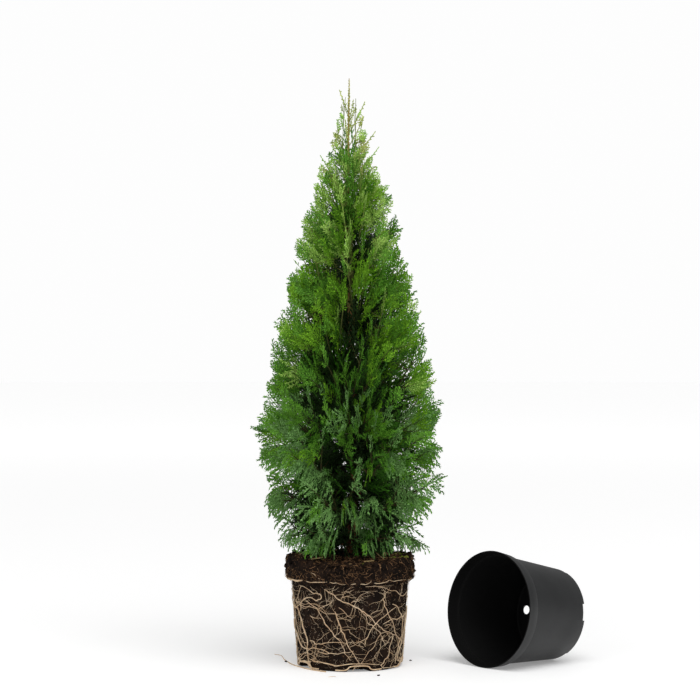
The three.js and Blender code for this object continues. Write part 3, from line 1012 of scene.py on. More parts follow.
@dataclass(frozen=True)
class Spray:
    """A flat fan of leaf shoots on one rib, from its root to its tip."""

    root: np.ndarray
    tip: np.ndarray
    roll: float
    width: float  # of the fan, as a share of its length
    bend: float  # how far the rib's middle lies above the straight line, as a share of its length
    droop: float  # how far the branchlets' ends hang, as a share of their length
    tint: Tint
    seed: int
    reach: float
    coarse: float = 1.0  # how much larger than life its shoots are
    within: float = 9.0  # its branchlets end within this share of the crown's radius


@dataclass
class Shoots:
    """Leaf shoots and links of branchlets: starts, ends, widths and the normals of their fans."""

    starts: np.ndarray
    ends: np.ndarray
    faces: np.ndarray
    widths: np.ndarray

    @staticmethod
    def joined(parts: list["Shoots"]) -> "Shoots":
        """Several batches as one.

        Args:
            parts: The batches.

        Returns:
            The one batch.
        """
        return Shoots(
            *(
                np.concatenate([getattr(p, name) for p in parts])
                for name in ("starts", "ends", "faces", "widths")
            )
        )

    def count(self) -> int:
        """How many shoots there are."""
        return len(self.starts)


@dataclass
class Foliage:
    """The crown's masses: the frame's sprays are limbs here, which carry fans of leaf shoots."""

    crown: Crown
    shoot_width: float = 1.8
    branchlet_width: float = 2.6
    patch: float = 0.285  # of the crown's outside to each fan, as a share of its length squared
    thickness: float = 0.42  # of a shoot, as a share of its width
    spill: float = 14.0  # how far a leaf may lie over its neighbour's space
    piece_limit: int = 31000  # shoots in one piece, at six triangles each
    roll: float = 16.0
    bare: tuple[float, float] = (690, 870)  # heights at which few fans stand before the leader
    bare_foot: float = 216  # no fan hangs before the trunk's foot below this height
    fans_end: float = 838  # the fans of the outside end at this height
    heart_high: float = 640  # the heart's fans are finer above this height
    leader: tuple[int, int] = (800, 947)  # heights of the first and last shoot on the leader
    leader_gap: float = 1.0
    edge: float = 0.84  # a fan that ends past this share of the leaves' radius is at the edge
    arched_below: float = 360  # the ribs of fans arch upwards below this height
    # The share of fans at the edge that are left out, up to each height.
    thinning: tuple[tuple[float, float], ...] = ((330, 0.6), (520, 0.45), (2000, 0.25))
    # How steeply fans rise at each height, in degrees, and how far their branchlets hang.
    rise: tuple[tuple[float, float], ...] = (
        (190, -24), (260, -8), (340, 10), (480, 28), (700, 38), (850, 50), (930, 64),
    )
    hang: tuple[tuple[float, float], ...] = (
        (190, 0.75), (280, 0.5), (360, 0.2), (480, 0.0), (900, -0.12),
    )
    leaves: dict[tuple[int, Tint], list[Shoots]] = field(default_factory=dict)
    ribs: list[Path] = field(default_factory=list)

    def band(self, tier: int) -> int:
        """The band of the crown that a tier is in: 0 low, 1 middle, 2 high."""
        return 0 if tier < 3 else 1 if tier < 7 else 2

    def tint_of(self, height: float, inner: bool, random: Seeded) -> Tint:
        """Deals a fan its tint by its height and by chance.

        Args:
            height: The height of its tip.
            inner: True if it fills the heart of its mass; low in the crown it then takes a dark tint,
                painted shade.
            random: The mass's numbers.

        Returns:
            The tint.
        """
        chance = random.next()
        # Fans in the heart are dealt the dark tint: painted shade.
        if inner and height < 700:
            return Tint.DEEP if chance < 0.75 else Tint.GREEN
        table = (
            (330, ((0.7, Tint.BLUE), (0.96, Tint.GREEN), (1, Tint.BRIGHT))),
            (450, ((0.42, Tint.BLUE), (0.86, Tint.GREEN), (1, Tint.BRIGHT))),
            (660, ((0.56, Tint.GREEN), (0.96, Tint.BRIGHT), (1, Tint.FRESH))),
            (780, ((0.3, Tint.GREEN), (0.56, Tint.BRIGHT), (1, Tint.FRESH))),
            (850, ((0.2, Tint.GREEN), (0.78, Tint.FRESH), (1, Tint.OLIVE))),
            (2000, ((0.6, Tint.OLIVE), (1, Tint.FRESH))),
        )
        row = next(shares for top, shares in table if height < top)
        return next(tint for share, tint in row if chance <= share)

    def dealt(self, height: float, most: float, random: Seeded) -> tuple[float, float]:
        """Deals a fan the bend of its rib, up to most, and how far its branchlets hang."""
        bend = random.between(*((-0.12, most) if height > self.arched_below else (0.0, 0.16)))
        return bend, float(along(self.hang, height)) + random.between(-0.1, 0.12)

    def grow(self, mass: Mass) -> None:
        """Grows one mass: its limbs, the fans of its outside and those of its heart.

        Args:
            mass: The mass.
        """
        crown, tier, angle, reach = self.crown, mass.tier, mass.angle, mass.reach
        random = Seeded(mass.seed)
        bough_end = 0.27 * reach if crown.tiers[tier].bough else None
        stem_start = bough_end + 0.4 if bough_end else crown.start(tier, angle)
        core_start = lerp(stem_start, reach, crown.core_start)
        core_end = lerp(stem_start, reach, crown.core_end)
        limbs: list[tuple[np.ndarray, np.ndarray]] = []
        for tip in crown.tips(mass, random):
            random.next()  # the roll of the frame's blade
            if tip.width is None:
                random.next()  # and its width
            root_r = lerp(core_start, core_end, random.between(0.3, 0.7))
            root = crown.place(tier, root_r, angle + (tip.angle - angle) * 0.3)
            end = crown.place(tier, tip.reach, tip.angle, tip.height)
            if tip.width:
                self.slim(mass, end, tip)
                continue
            self.twig([crown.place(tier, root_r * 0.75, angle), root], 1.5, 1.1)
            limit = float(crown.leaf_radius(end[2], tip.angle)) * 1.04 + 3
            if limit < tip.reach < crown.radius(tip.height) * 1.06:
                end = end * np.array([limit / tip.reach, limit / tip.reach, 1.0])
            limbs.append((root, end))
            self.limb(mass, root, end)
        if limbs:
            self.surface(mass, limbs)
            for _ in range(int(round(reach / 12)) + (5 if tier < 3 else 8 if tier < 9 else 2)):
                self.filler(mass, stem_start)
        stem_end = lerp(core_start, core_end, 0.7)
        points = crown.limb(tier, angle, stem_end, 4)
        if bough_end:
            radii = [lerp(stem_start, stem_end, share) for share in (0, 0.3, 0.6, 1)]
            points = [crown.place(tier, r, angle) for r in radii]
        self.twig(points, 2.1, 1.0)

    def limb(self, mass: Mass, root: np.ndarray, end: np.ndarray) -> None:
        """Grows one limb of a mass with fans of shoots along it and one at its end.

        Args:
            mass: The mass.
            root: Where the limb starts.
            end: Where its last fan ends.
        """
        random = mass.random
        line = end - root
        length = float(np.linalg.norm(line))
        size = clamp(0.33 * float(self.crown.radius(end[2])) + 15, 20, 62)
        count = int(clamp(round(length * 0.8 / (0.55 * size + 6)), 0, 2))
        stop = end - line / length * min(size * 0.75, length * 0.6)
        self.twig([root, (root + stop) / 2 + UP * 2, stop], 1.3, 0.8)
        for i in range(count + 1):
            last = i == count
            share = 1.0 if last else 0.1 + 0.8 * (i + random.next()) / max(count, 1)
            start = root + (stop - root) * share
            tip = end if last else self.side_tip(start, size, random)
            # A fan whose tip lies deep inside the crown counts as inner and gets the darker tint:
            # painted shade.
            depth = math.hypot(tip[0], tip[1]) / float(self.crown.radius(tip[2]))
            tint = self.tint_of(float(tip[2]), depth < 0.8, random)
            roll = math.radians(random.between(-self.roll, self.roll))
            width = random.between(0.62, 0.85)
            bend, droop = self.dealt(start[2], 0.04, random)
            seed = mass.seed * 1000 + len(self.ribs)
            reach = math.hypot(end[0], end[1])
            self.spray(mass, Spray(start, tip, roll, width, bend, droop, tint, seed, reach))

    def side_tip(self, start: np.ndarray, size: float, random: Seeded) -> np.ndarray:
        """Where a fan at a limb's side ends, so that it stays near the crown's outside.

        Args:
            start: Where the fan starts.
            size: Its length, more or less.
            random: The mass's numbers.

        Returns:
            The fan's tip.
        """
        azimuth = math.atan2(start[1], start[0]) + math.radians(random.between(-30, 30))
        rise = math.radians(float(along(self.rise, start[2])) + random.between(-16, 16))
        way = polar(math.cos(rise), azimuth, math.sin(rise))
        far = size * random.between(0.8, 1.25)
        tip = start + way * far
        for _ in range(5):
            if math.hypot(tip[0], tip[1]) <= float(self.crown.leaf_radius(tip[2], azimuth)):
                break
            far *= 0.85
            tip = start + way * far
        return tip

    def surface(self, mass: Mass, limbs: list[tuple[np.ndarray, np.ndarray]]) -> None:
        """Grows the fans of a mass's outside, each on a twig from the nearest limb.

        Args:
            mass: The mass.
            limbs: Start and end of its limbs.
        """
        crown, tier, random = self.crown, mass.tier, mass.random
        low = crown.floor(tier, mass.reach)
        high = min(crown.ceiling(tier, mass.reach), low + crown.tallest)
        mean = clamp(0.45 * mass.reach + 15, 24, 76)
        patch = self.patch * (1.5 if tier > 7 else 1.0)
        count = int(2 * mass.half * mass.reach * (high - low) / (patch * mean**2))
        for i in range(count):
            height = lerp(low, high, (i + random.next()) / count)
            turn = mass.angle + mass.half * random.between(-0.98, 0.98)
            out = float(crown.leaf_radius(height, turn))
            far = out * (0.54 + 0.455 * random.next() ** 0.75)
            front = abs(turned_of(turn + math.pi / 2))
            before = front < 0.24 and self.bare[0] < height < self.bare[1]
            foot = front < 0.26 and height < self.bare_foot
            edge = far > self.edge * out
            lone = edge and random.next() < 0.3
            thin = next(share for top, share in self.thinning if height < top)
            thinned = edge and not lone and random.next() < thin
            if height > self.fans_end or foot or thinned or (before and i % 2):
                continue
            far = min(far * random.between(1.04, 1.2), out + 8) if lone else far
            azimuth = turn + math.radians(random.between(-18, 18))
            rise = math.radians(float(along(self.rise, height)) + random.between(-14, 14))
            tip = polar(far, turn, height)
            size = min(
                clamp(0.45 * out + 15, 22, 76) * random.between(0.7, 1.2),
                (far - 5) / max(math.cos(rise), 0.2),
            )
            root = tip - polar(math.cos(rise), azimuth, math.sin(rise)) * size
            starts = [nearest_on(begin, end, root) for begin, end in limbs]
            start = min(starts, key=lambda p: float(np.linalg.norm(root - p)))
            if np.linalg.norm(root - start) > 3:
                self.twig([start, root], 0.7, 0.55)
            tint = self.tint_of(height, False, random)
            # Fans that face the front are dealt greener tints, and from 500 to 800 mm the brighter
            # one: painted light from the front.
            if front < 0.6 and height > 330 and tint == Tint.BLUE:
                tint = Tint.GREEN
            elif front < 0.5 and 500 < height < 800 and tint == Tint.GREEN:
                tint = Tint.BRIGHT
            most = 60 if random.next() < 0.06 else self.roll
            roll = math.radians(random.between(-most, most))
            width = random.between(0.6, 0.85) * (0.6 if lone else 0.86 if edge else 1.0)
            bend, droop = self.dealt(height, 0.05, random)
            seed = mass.seed * 1000 + len(self.ribs)
            reach = far + 2 if lone else 0.0
            self.spray(mass, Spray(root, tip, roll, width, bend, droop, tint, seed, reach))

    def slim(self, mass: Mass, end: np.ndarray, tip: Tip) -> None:
        """Grows one slim leafy shoot that leaves the leader at a steep angle.

        Args:
            mass: The mass.
            end: The shoot's tip.
            tip: Its place in the mass.
        """
        random = mass.random
        near = end[2] - (1.9 if tip.reach < 28 else 1.05) * tip.reach - 6
        root = self.crown.trunk.at(near)
        line = end - root
        length = float(np.linalg.norm(line))
        turn = random.between(-0.6, 0.6)
        across = unit(np.cross([math.sin(turn), -math.cos(turn), 0.0], line)[None])[0]
        count = int(length / 3.2)
        u = np.linspace(0.06, 0.97, count)
        sag = -UP * 0.1 * length

        def rib(t: np.ndarray) -> np.ndarray:
            """Points along the shoot at shares of its length."""
            return root + line * t[:, None] + sag * (4 * t * (1 - t))[:, None] * 0.5

        face = np.repeat(np.cross(across, line / length)[None], count, 0)
        thick = self.shoot_width * (1.5 - 0.5 * u)
        found = [Shoots(rib(u), rib(np.minimum(u + 5.0 / length, 1.02)), face, thick)]
        each = max(4, int(length / 4.6))
        broad = 0.3 if end[2] > 870 else 0.5
        t = 0.22 + 0.7 * (np.arange(each) + random.next()) / each
        hand = np.where(np.arange(each) % 2 == 0, 1.0, -1.0)
        reach = np.array([random.between(0.55, 1.2) for _ in range(each)])
        reach = reach * (3.0 + broad * tip.width * (1 - t))
        lean = np.radians([random.between(20, 36) for _ in range(each)])
        way = (line / length) * np.cos(lean)[:, None] + across * (hand * np.sin(lean))[:, None]
        start = rib(t)
        flat, full = face[:1].repeat(each, 0), np.full(each, 2.2)
        found.append(Shoots(start, start + way * reach[:, None], flat, full))
        small = np.repeat(np.arange(each), 2)
        side = np.tile([1.0, -1.0], each)
        start = start[small] + way[small] * (reach[small] * np.tile([0.35, 0.6], each))[:, None]
        turned = way[small] + across * (0.6 * side)[:, None]
        ends = start + turned * np.minimum(0.4 * reach[small], 3.2)[:, None]
        found.append(Shoots(start, ends, face[:1].repeat(2 * each, 0), np.full(2 * each, 1.9)))
        tint = Tint.OLIVE if end[2] > 858 else Tint.FRESH
        self.leaves.setdefault((self.band(mass.tier), tint), []).append(Shoots.joined(found))
        self.ribs.append((list(rib(np.linspace(0, 0.8, 4))), [0.6, 0.5, 0.4, 0.3]))

    def filler(self, mass: Mass, stem_start: float) -> None:
        """Grows one coarser fan in the heart of a mass, whose stem starts at a radius.

        Args:
            mass: The mass.
            stem_start: The radius where its stem starts.
        """
        crown, tier, random = self.crown, mass.tier, mass.random
        across = mass.half * random.between(-0.85, 0.85)
        share = random.between(0.1, 0.9)
        far = mass.reach * random.between(0.2 if tier < 8 else 0.3, 0.68)
        near = lerp(12 if tier < 8 else stem_start, far, random.between(0.0, 0.3))
        top = min(crown.ceiling(tier, far), crown.floor(tier, far) + crown.tallest)
        height = lerp(crown.floor(tier, far) + 2, top - 2, share)
        high = height > self.heart_high
        outside = float(crown.leaf_radius(height, mass.angle + across))
        far = min(far, (0.55 if high else 0.68) * outside)
        near = min(near, far * 0.5)
        end = crown.place(tier, far, mass.angle + across, height)
        root = crown.place(tier, near, mass.angle + across * 0.25)
        # Fans in the heart are tinted dark for the shade that falls there: painted shade.
        shaded = far <= 0.6 * mass.reach and height <= 700
        tint = Tint.GREEN if height > 740 else Tint.SHADE if shaded else Tint.DEEP
        roll = math.radians(random.between(-80, 80))
        bend, droop = random.between(-0.1, 0.1), float(along(self.hang, end[2])) * 0.6
        seed = mass.seed * 1000 + 500 + len(self.ribs)
        width, coarse = (0.8, 1.45) if high else (0.95, 1.8)
        made = Spray(root, end, roll, width, bend, droop, tint, seed, far, coarse, within=0.8)
        self.spray(mass, made)

    def twig(self, points: list[np.ndarray], thick: float, thin: float) -> None:
        """Adds a twig that tapers from one radius to another, slimmer high in the crown."""
        slim = clamp((1020 - float(points[0][2])) / 400, 0.32, 1.0)
        self.ribs.append(tapered(points, thick * slim, thin * slim))

    def spray(self, mass: Mass, made: Spray) -> None:
        """Grows one fan; a branchlet that would leave the mass's space is shortened, then left out.

        Args:
            mass: The mass.
            made: The fan.
        """
        chance = np.random.default_rng(made.seed)
        line = made.tip - made.root
        length = float(np.linalg.norm(line))
        if length < 8:
            return
        way = line / length
        level = UP - way * way[2]
        level = level / max(np.linalg.norm(level), 1e-6)
        side = np.cross(way, level)
        upward = level * math.cos(made.roll) + side * math.sin(made.roll)
        control = (made.root + made.tip) / 2 + upward * made.bend * length * 2
        scale = made.coarse

        def rib(u: np.ndarray) -> np.ndarray:
            """Points of the rib at shares of its length."""
            v = u[:, None]
            return made.root * (1 - v) ** 2 + control * 2 * v * (1 - v) + made.tip * v**2

        def bent(x: np.ndarray, y: np.ndarray, z: np.ndarray) -> tuple[np.ndarray, np.ndarray]:
            """Points of the flat fan laid along the rib, and the fan's normal there.

            Args:
                x: Places along the rib.
                y: Places across the fan.
                z: Places off it.

            Returns:
                The points, and the fan's normal at each.
            """
            u = np.clip(x / length, 0, 1)
            v = u[:, None]
            ahead = unit((control - made.root) * (1 - v) + (made.tip - control) * v)
            over = unit(upward - ahead * (ahead @ upward)[:, None])
            normal = np.cross(ahead, over)
            places = rib(u) + ahead * (x - u * length)[:, None]
            return places + over * y[:, None] + normal * z[:, None], normal

        # Branchlets, alternately to either side of the rib.
        gap = clamp(6.0 + length * 0.07, 6.6, 11.5) * scale**0.7
        n = 2 * max(3, int(length * 0.88 / gap))
        s = 0.1 + 0.88 * (np.arange(n) + 0.5 + chance.uniform(-0.3, 0.3, n)) / n
        hand = np.where(np.arange(n) % 2 == 0, 1.0, -1.0)
        opening = np.radians(47 - 23 * s + chance.uniform(-6, 6, n))
        fan = np.interp(s, [0.0, 0.18, 0.38, 0.6, 0.82, 1.0], [0.45, 0.9, 1.0, 0.82, 0.56, 0.32])
        long = made.width * length / 2 * fan * chance.uniform(0.75, 1.2, n) / np.sin(opening)
        long = np.maximum(long, 4.5)
        lift = chance.uniform(-0.18, 0.18, n)
        curl = chance.uniform(-0.16, 0.16, n)
        ahead_bend = 0.15

        def on_branchlet(which: np.ndarray, t: np.ndarray) -> tuple[np.ndarray, ...]:
            """Flat places on branchlets, at shares of their length.

            Args:
                which: The branchlets' numbers.
                t: The shares.

            Returns:
                Places along the rib, across the fan and off it.
            """
            far = long[which]
            x = s[which] * length + far * (np.cos(opening[which]) * t + ahead_bend * t**2)
            y = hand[which] * far * (np.sin(opening[which]) * t - 0.6 * ahead_bend * t**2)
            z = far * (lift[which] * t + curl[which] * t**2)
            return x, y, z

        def hung(places: np.ndarray, which: np.ndarray, t: np.ndarray) -> np.ndarray:
            """Lets places on branchlets hang, or rise where the droop is negative."""
            places[:, 2] -= made.droop * long[which] * t**1.6
            return places

        everyone, ends_at = np.arange(n), np.ones(n)
        for again in (0.6, 1.0):
            tips = hung(bent(*on_branchlet(everyone, ends_at))[0], everyone, ends_at)
            good = self.crown.inside(mass, tips, self.spill, made.reach)
            long = np.where(good, long, long * again)
        outline = self.crown.leaf_radius(tips[:, 2], np.arctan2(tips[:, 1], tips[:, 0]))
        good &= np.hypot(tips[:, 0], tips[:, 1]) < made.within * outline + 5
        everyone = everyone[good]
        if not len(everyone):
            return

        links = 3
        which = np.repeat(everyone, links)
        k = np.tile(np.arange(links), len(everyone))
        t0, t1 = k / links, np.minimum((k + 1.4) / links, 1.1)
        a, face = bent(*on_branchlet(which, t0))
        b, _normal = bent(*on_branchlet(which, t1))
        found = [
            Shoots(
                hung(a, which, t0), hung(b, which, t1), face,
                self.branchlet_width * scale * (1.08 - 0.14 * k) * chance.uniform(0.9, 1.1, len(k)),
            )
        ]

        # Shoots on the branchlets, alternately to either side.
        counts = np.maximum(2, (2 * long / (5.0 * scale)).astype(int))
        which = np.repeat(everyone, counts[everyone])
        first = np.repeat(np.cumsum(counts[everyone]) - counts[everyone], counts[everyone])
        j = np.arange(len(which)) - first
        t = (j + 1.1) / (counts[which] + 0.9)
        x, y, z = on_branchlet(which, t)
        ahead = np.arctan2(
            hand[which] * (np.sin(opening[which]) - 1.2 * ahead_bend * t),
            np.cos(opening[which]) + 2 * ahead_bend * t,
        )
        splay = np.where((j + which) % 2 == 0, 1.0, -1.0) * np.radians(chance.uniform(24, 40, len(j)))
        size = scale * (4.8 + 13.5 * np.clip(0.7 - t, 0, 1)) * chance.uniform(0.7, 1.3, len(j))
        size = np.minimum(size, 0.34 * long[which] + 3.0)
        a, face = bent(x, y, z)
        b, _normal = bent(
            x + size * np.cos(ahead + splay), y + size * np.sin(ahead + splay),
            z + size * chance.uniform(-0.3, 0.3, len(j)),
        )
        found.append(
            Shoots(
                hung(a, which, t), hung(b, which, np.minimum(t + 0.2, 1.1)), face,
                self.shoot_width * scale * chance.uniform(0.85, 1.1, len(j)),
            )
        )

        # The end of the rib is a leafy shoot too.
        u = np.linspace(0.35, 0.96, 8)
        zero = np.zeros(8)
        a, face = bent(u * length, zero, zero)
        b, _normal = bent((u + 0.12) * length, zero, zero)
        found.append(Shoots(a, b, face, np.full(8, self.branchlet_width * scale)))
        self.leaves.setdefault((self.band(mass.tier), made.tint), []).append(Shoots.joined(found))
        self.ribs.append((list(rib(np.linspace(0, 0.85, 4))), [0.7, 0.6, 0.5, 0.4]))

    def leader_shoots(self) -> None:
        """Small shoots close against the leader, up to its tip."""
        trunk = self.crown.trunk
        chance = np.random.default_rng(5)
        z = np.arange(*self.leader, self.leader_gap)
        turn = np.arange(len(z)) * 2.4
        middle, radius = trunk.at(z), trunk.radius_at(z)
        outwards = ring(1.0, turn, np.zeros(len(z)))
        starts = middle + outwards * radius[:, None] * 0.5
        size = chance.uniform(4, 7, len(z)) * np.clip((962 - z) / 60, 0.3, 1)
        ends = starts + (outwards * 0.2 + UP * 0.98) * size[:, None]
        shoots = Shoots(starts, ends, np.cross(outwards, UP), np.full(len(z), 2.3))
        self.leaves.setdefault((2, Tint.OLIVE), []).append(shoots)

    def leaf_shape(self) -> bpy.types.Object:
        """One leaf shoot of six triangles along +X: narrow at its root, widest near its blunt end.

        Returns:
            The leaf, which isn't in the scene.
        """
        places = [
            (0, 0, 0), (0.66, 0.5, 0.12), (0.66, -0.5, 0.12), (0.6, 0, -0.5), (1, 0, 0),
        ]
        faces = [(0, 2, 1), (0, 1, 3), (0, 3, 2), (4, 1, 2), (4, 3, 1), (4, 2, 3)]
        mesh = bpy.data.meshes.new("leaf_shoot")
        mesh.from_pydata(places, [], faces)
        outward(mesh)
        return bpy.data.objects.new("leaf_shoot", mesh)

    def build(self) -> dict[int, list[bpy.types.Object]]:
        """Grows every mass and joins the shoots by band and tint.

        Returns:
            The pieces of each band of the crown.
        """
        for tier, row in enumerate(self.crown.tiers):
            half = math.pi / row.sectors
            for sector in range(row.sectors):
                angle = math.radians(row.turn) + 2 * half * sector
                seed = 10 * tier + sector + 1
                self.grow(Mass(tier, angle, half, seed, self.crown.reach(tier)))
        self.leader_shoots()
        growth = leaf_growth()
        leaf = self.leaf_shape()
        pieces: dict[int, list[bpy.types.Object]] = {}
        for band, tint in sorted(self.leaves, key=lambda e: (e[0], e[1].value)):
            parts: list[list[Shoots]] = [[]]
            for batch in self.leaves[band, tint]:
                if sum(b.count() for b in parts[-1]) + batch.count() > self.piece_limit:
                    parts.append([])
                parts[-1].append(batch)
            for number, part in enumerate(parts):
                name = f"leaves_{BANDS[band]}_{tint.value}_{number + 1}"
                piece = self.piece(name, part, LEAF_FINISHES[tint].material(), growth, leaf)
                pieces.setdefault(band, []).append(piece)
                log.info("%s: %d triangles", name, len(piece.data.polygons))
        bpy.data.objects.remove(leaf)
        return pieces

    def piece(
        self, name: str, part: list[Shoots], finish: bpy.types.Material, growth: Growth,
        leaf: bpy.types.Object,
    ) -> bpy.types.Object:
        """One joined piece of leaf shoots.

        Args:
            name: The piece's name.
            part: Its batches of shoots.
            finish: Its material.
            growth: The tree that sets a leaf on each point.
            leaf: The leaf's shape.

        Returns:
            The piece.
        """
        whole = Shoots.joined(part)
        way, widths = whole.ends - whole.starts, whole.widths
        lengths = np.linalg.norm(way, axis=1)
        size = np.stack([lengths, widths, widths * self.thickness], axis=1) * MM
        mesh = mesh_of(name, whole.starts)
        for label, values in (("way", way), ("face", whole.faces), ("size", size)):
            layer = mesh.attributes.new(label, "FLOAT_VECTOR", "POINT")
            layer.data.foreach_set("vector", np.asarray(values, np.float32).ravel())
        return growth.run(linked(name + "_points", mesh), name, {"Leaf": leaf, "Finish": finish})


# ---------------------------------------------------------------- tubes


def tubes(
    name: str, paths: list[Path], growth: Growth, finish: bpy.types.Material, sides: int,
    relief: float = 0.0, grain: float = 100.0,
) -> bpy.types.Object:
    """Joined round tubes along paths.

    Args:
        name: The piece's name.
        paths: Points in millimetres and a radius at each, for each tube.
        growth: The tree that makes tubes.
        finish: The material.
        sides: Sides of each tube.
        relief: Height of the skin's roughness, in millimetres.
        grain: Scale of the roughness.

    Returns:
        The piece.
    """
    places = np.concatenate([np.asarray(p) for p, _ in paths])
    thick = np.concatenate([np.asarray(r, float) for _, r in paths]) * MM
    edges, first = [], 0
    for points, _ in paths:
        edges += [(first + i, first + i + 1) for i in range(len(points) - 1)]
        first += len(points)
    mesh = mesh_of(name, places, edges=edges)
    layer = mesh.attributes.new("thick", "FLOAT", "POINT")
    layer.data.foreach_set("value", thick.astype(np.float32))
    return growth.run(
        linked(name + "_paths", mesh), name,
        {"Sides": sides, "Relief": relief * MM, "Grain": grain, "Finish": finish},
    )


def smooth_path(points: list[np.ndarray], steps: int) -> list[np.ndarray]:
    """A smooth run through points, with a number of steps between each two.

    Args:
        points: The points.
        steps: How many steps there are between two of them.

    Returns:
        The run's points.
    """
    p = [points[0], *points, points[-1]]
    made = []
    for i in range(1, len(p) - 2):
        for k in range(steps):
            t = k / steps
            made.append(
                0.5 * (
                    2 * p[i] + (p[i + 1] - p[i - 1]) * t
                    + (2 * p[i - 1] - 5 * p[i] + 4 * p[i + 1] - p[i + 2]) * t**2
                    + (3 * p[i] - 3 * p[i + 1] + p[i + 2] - p[i - 1]) * t**3
                )
            )
    made.append(p[-2])
    return made


# ---------------------------------------------------------------- wood


@dataclass
class Wood:
    """The trunk with its relief of bark, and the low boughs."""

    crown: Crown
    rings: int = 220
    sides: int = 28
    ridges: int = 7  # of fibres round the foot
    fin: float = 0.16  # how far the ridges stand out, as a share of the radius
    bough_radii: tuple[float, float] = (3.3, 2.1)  # at the trunk and at the mass

    def trunk_piece(self) -> bpy.types.Object:
        """The trunk from its flared foot to the leader's tip, closed and roughened.

        Returns:
            The piece.
        """
        trunk = self.crown.trunk
        share = np.linspace(0, 1, self.rings) ** 1.35
        z = trunk.foot + (trunk.top - trunk.foot) * share
        middle, radius = trunk.at(z), trunk.radius_at(z)
        turn = np.linspace(0, 2 * np.pi, self.sides, endpoint=False)
        low = np.clip(1 - (z - trunk.foot) / 140, 0, 1)[:, None]
        wave = 1 + self.fin * low * np.sin(self.ridges * turn[None] + z[:, None] * 0.02)
        wave += 0.06 * np.sin(3 * turn[None] + z[:, None] * 0.045)
        slim = np.interp(z, [700, 860, 949], [1.0, 0.62, 0.6])[:, None]
        ring_r = radius[:, None] * wave * 0.97 * slim
        places = np.stack(
            [
                middle[:, :1] + ring_r * np.cos(turn)[None],
                middle[:, 1:2] + ring_r * np.sin(turn)[None],
                np.repeat(z[:, None], self.sides, 1),
            ],
            axis=-1,
        ).reshape(-1, 3)
        faces = quads(self.rings, self.sides)
        faces.append(tuple(range(self.sides - 1, -1, -1)))
        faces.append(tuple(range((self.rings - 1) * self.sides, self.rings * self.sides)))
        base = linked("trunk_base", mesh_of("trunk_base", places, faces))
        growth = skin_growth("bark relief", (1.0, 1.0, 0.12))
        return growth.run(
            base, "trunk_bark", {"Relief": 0.9 * MM, "Grain": 170.0, "Finish": BARK.material()}
        )

    def boughs(self, growth: Growth) -> bpy.types.Object:
        """The low boughs, each from the trunk's middle to its mass.

        Args:
            growth: The tree that makes tubes.

        Returns:
            The piece.
        """
        paths = []
        for tier, row in enumerate(self.crown.tiers):
            for sector in range(row.sectors if row.bough else 0):
                angle = math.radians(row.turn) + 2 * math.pi / row.sectors * sector
                points = self.crown.limb(tier, angle, 0.3 * self.crown.reach(tier), 3, 2.5)
                paths.append(tapered(smooth_path(points, 4), *self.bough_radii))
        return tubes("boughs_bark", paths, growth, BARK.material(), 8, 0.35, 260.0)


# ---------------------------------------------------------------- root ball


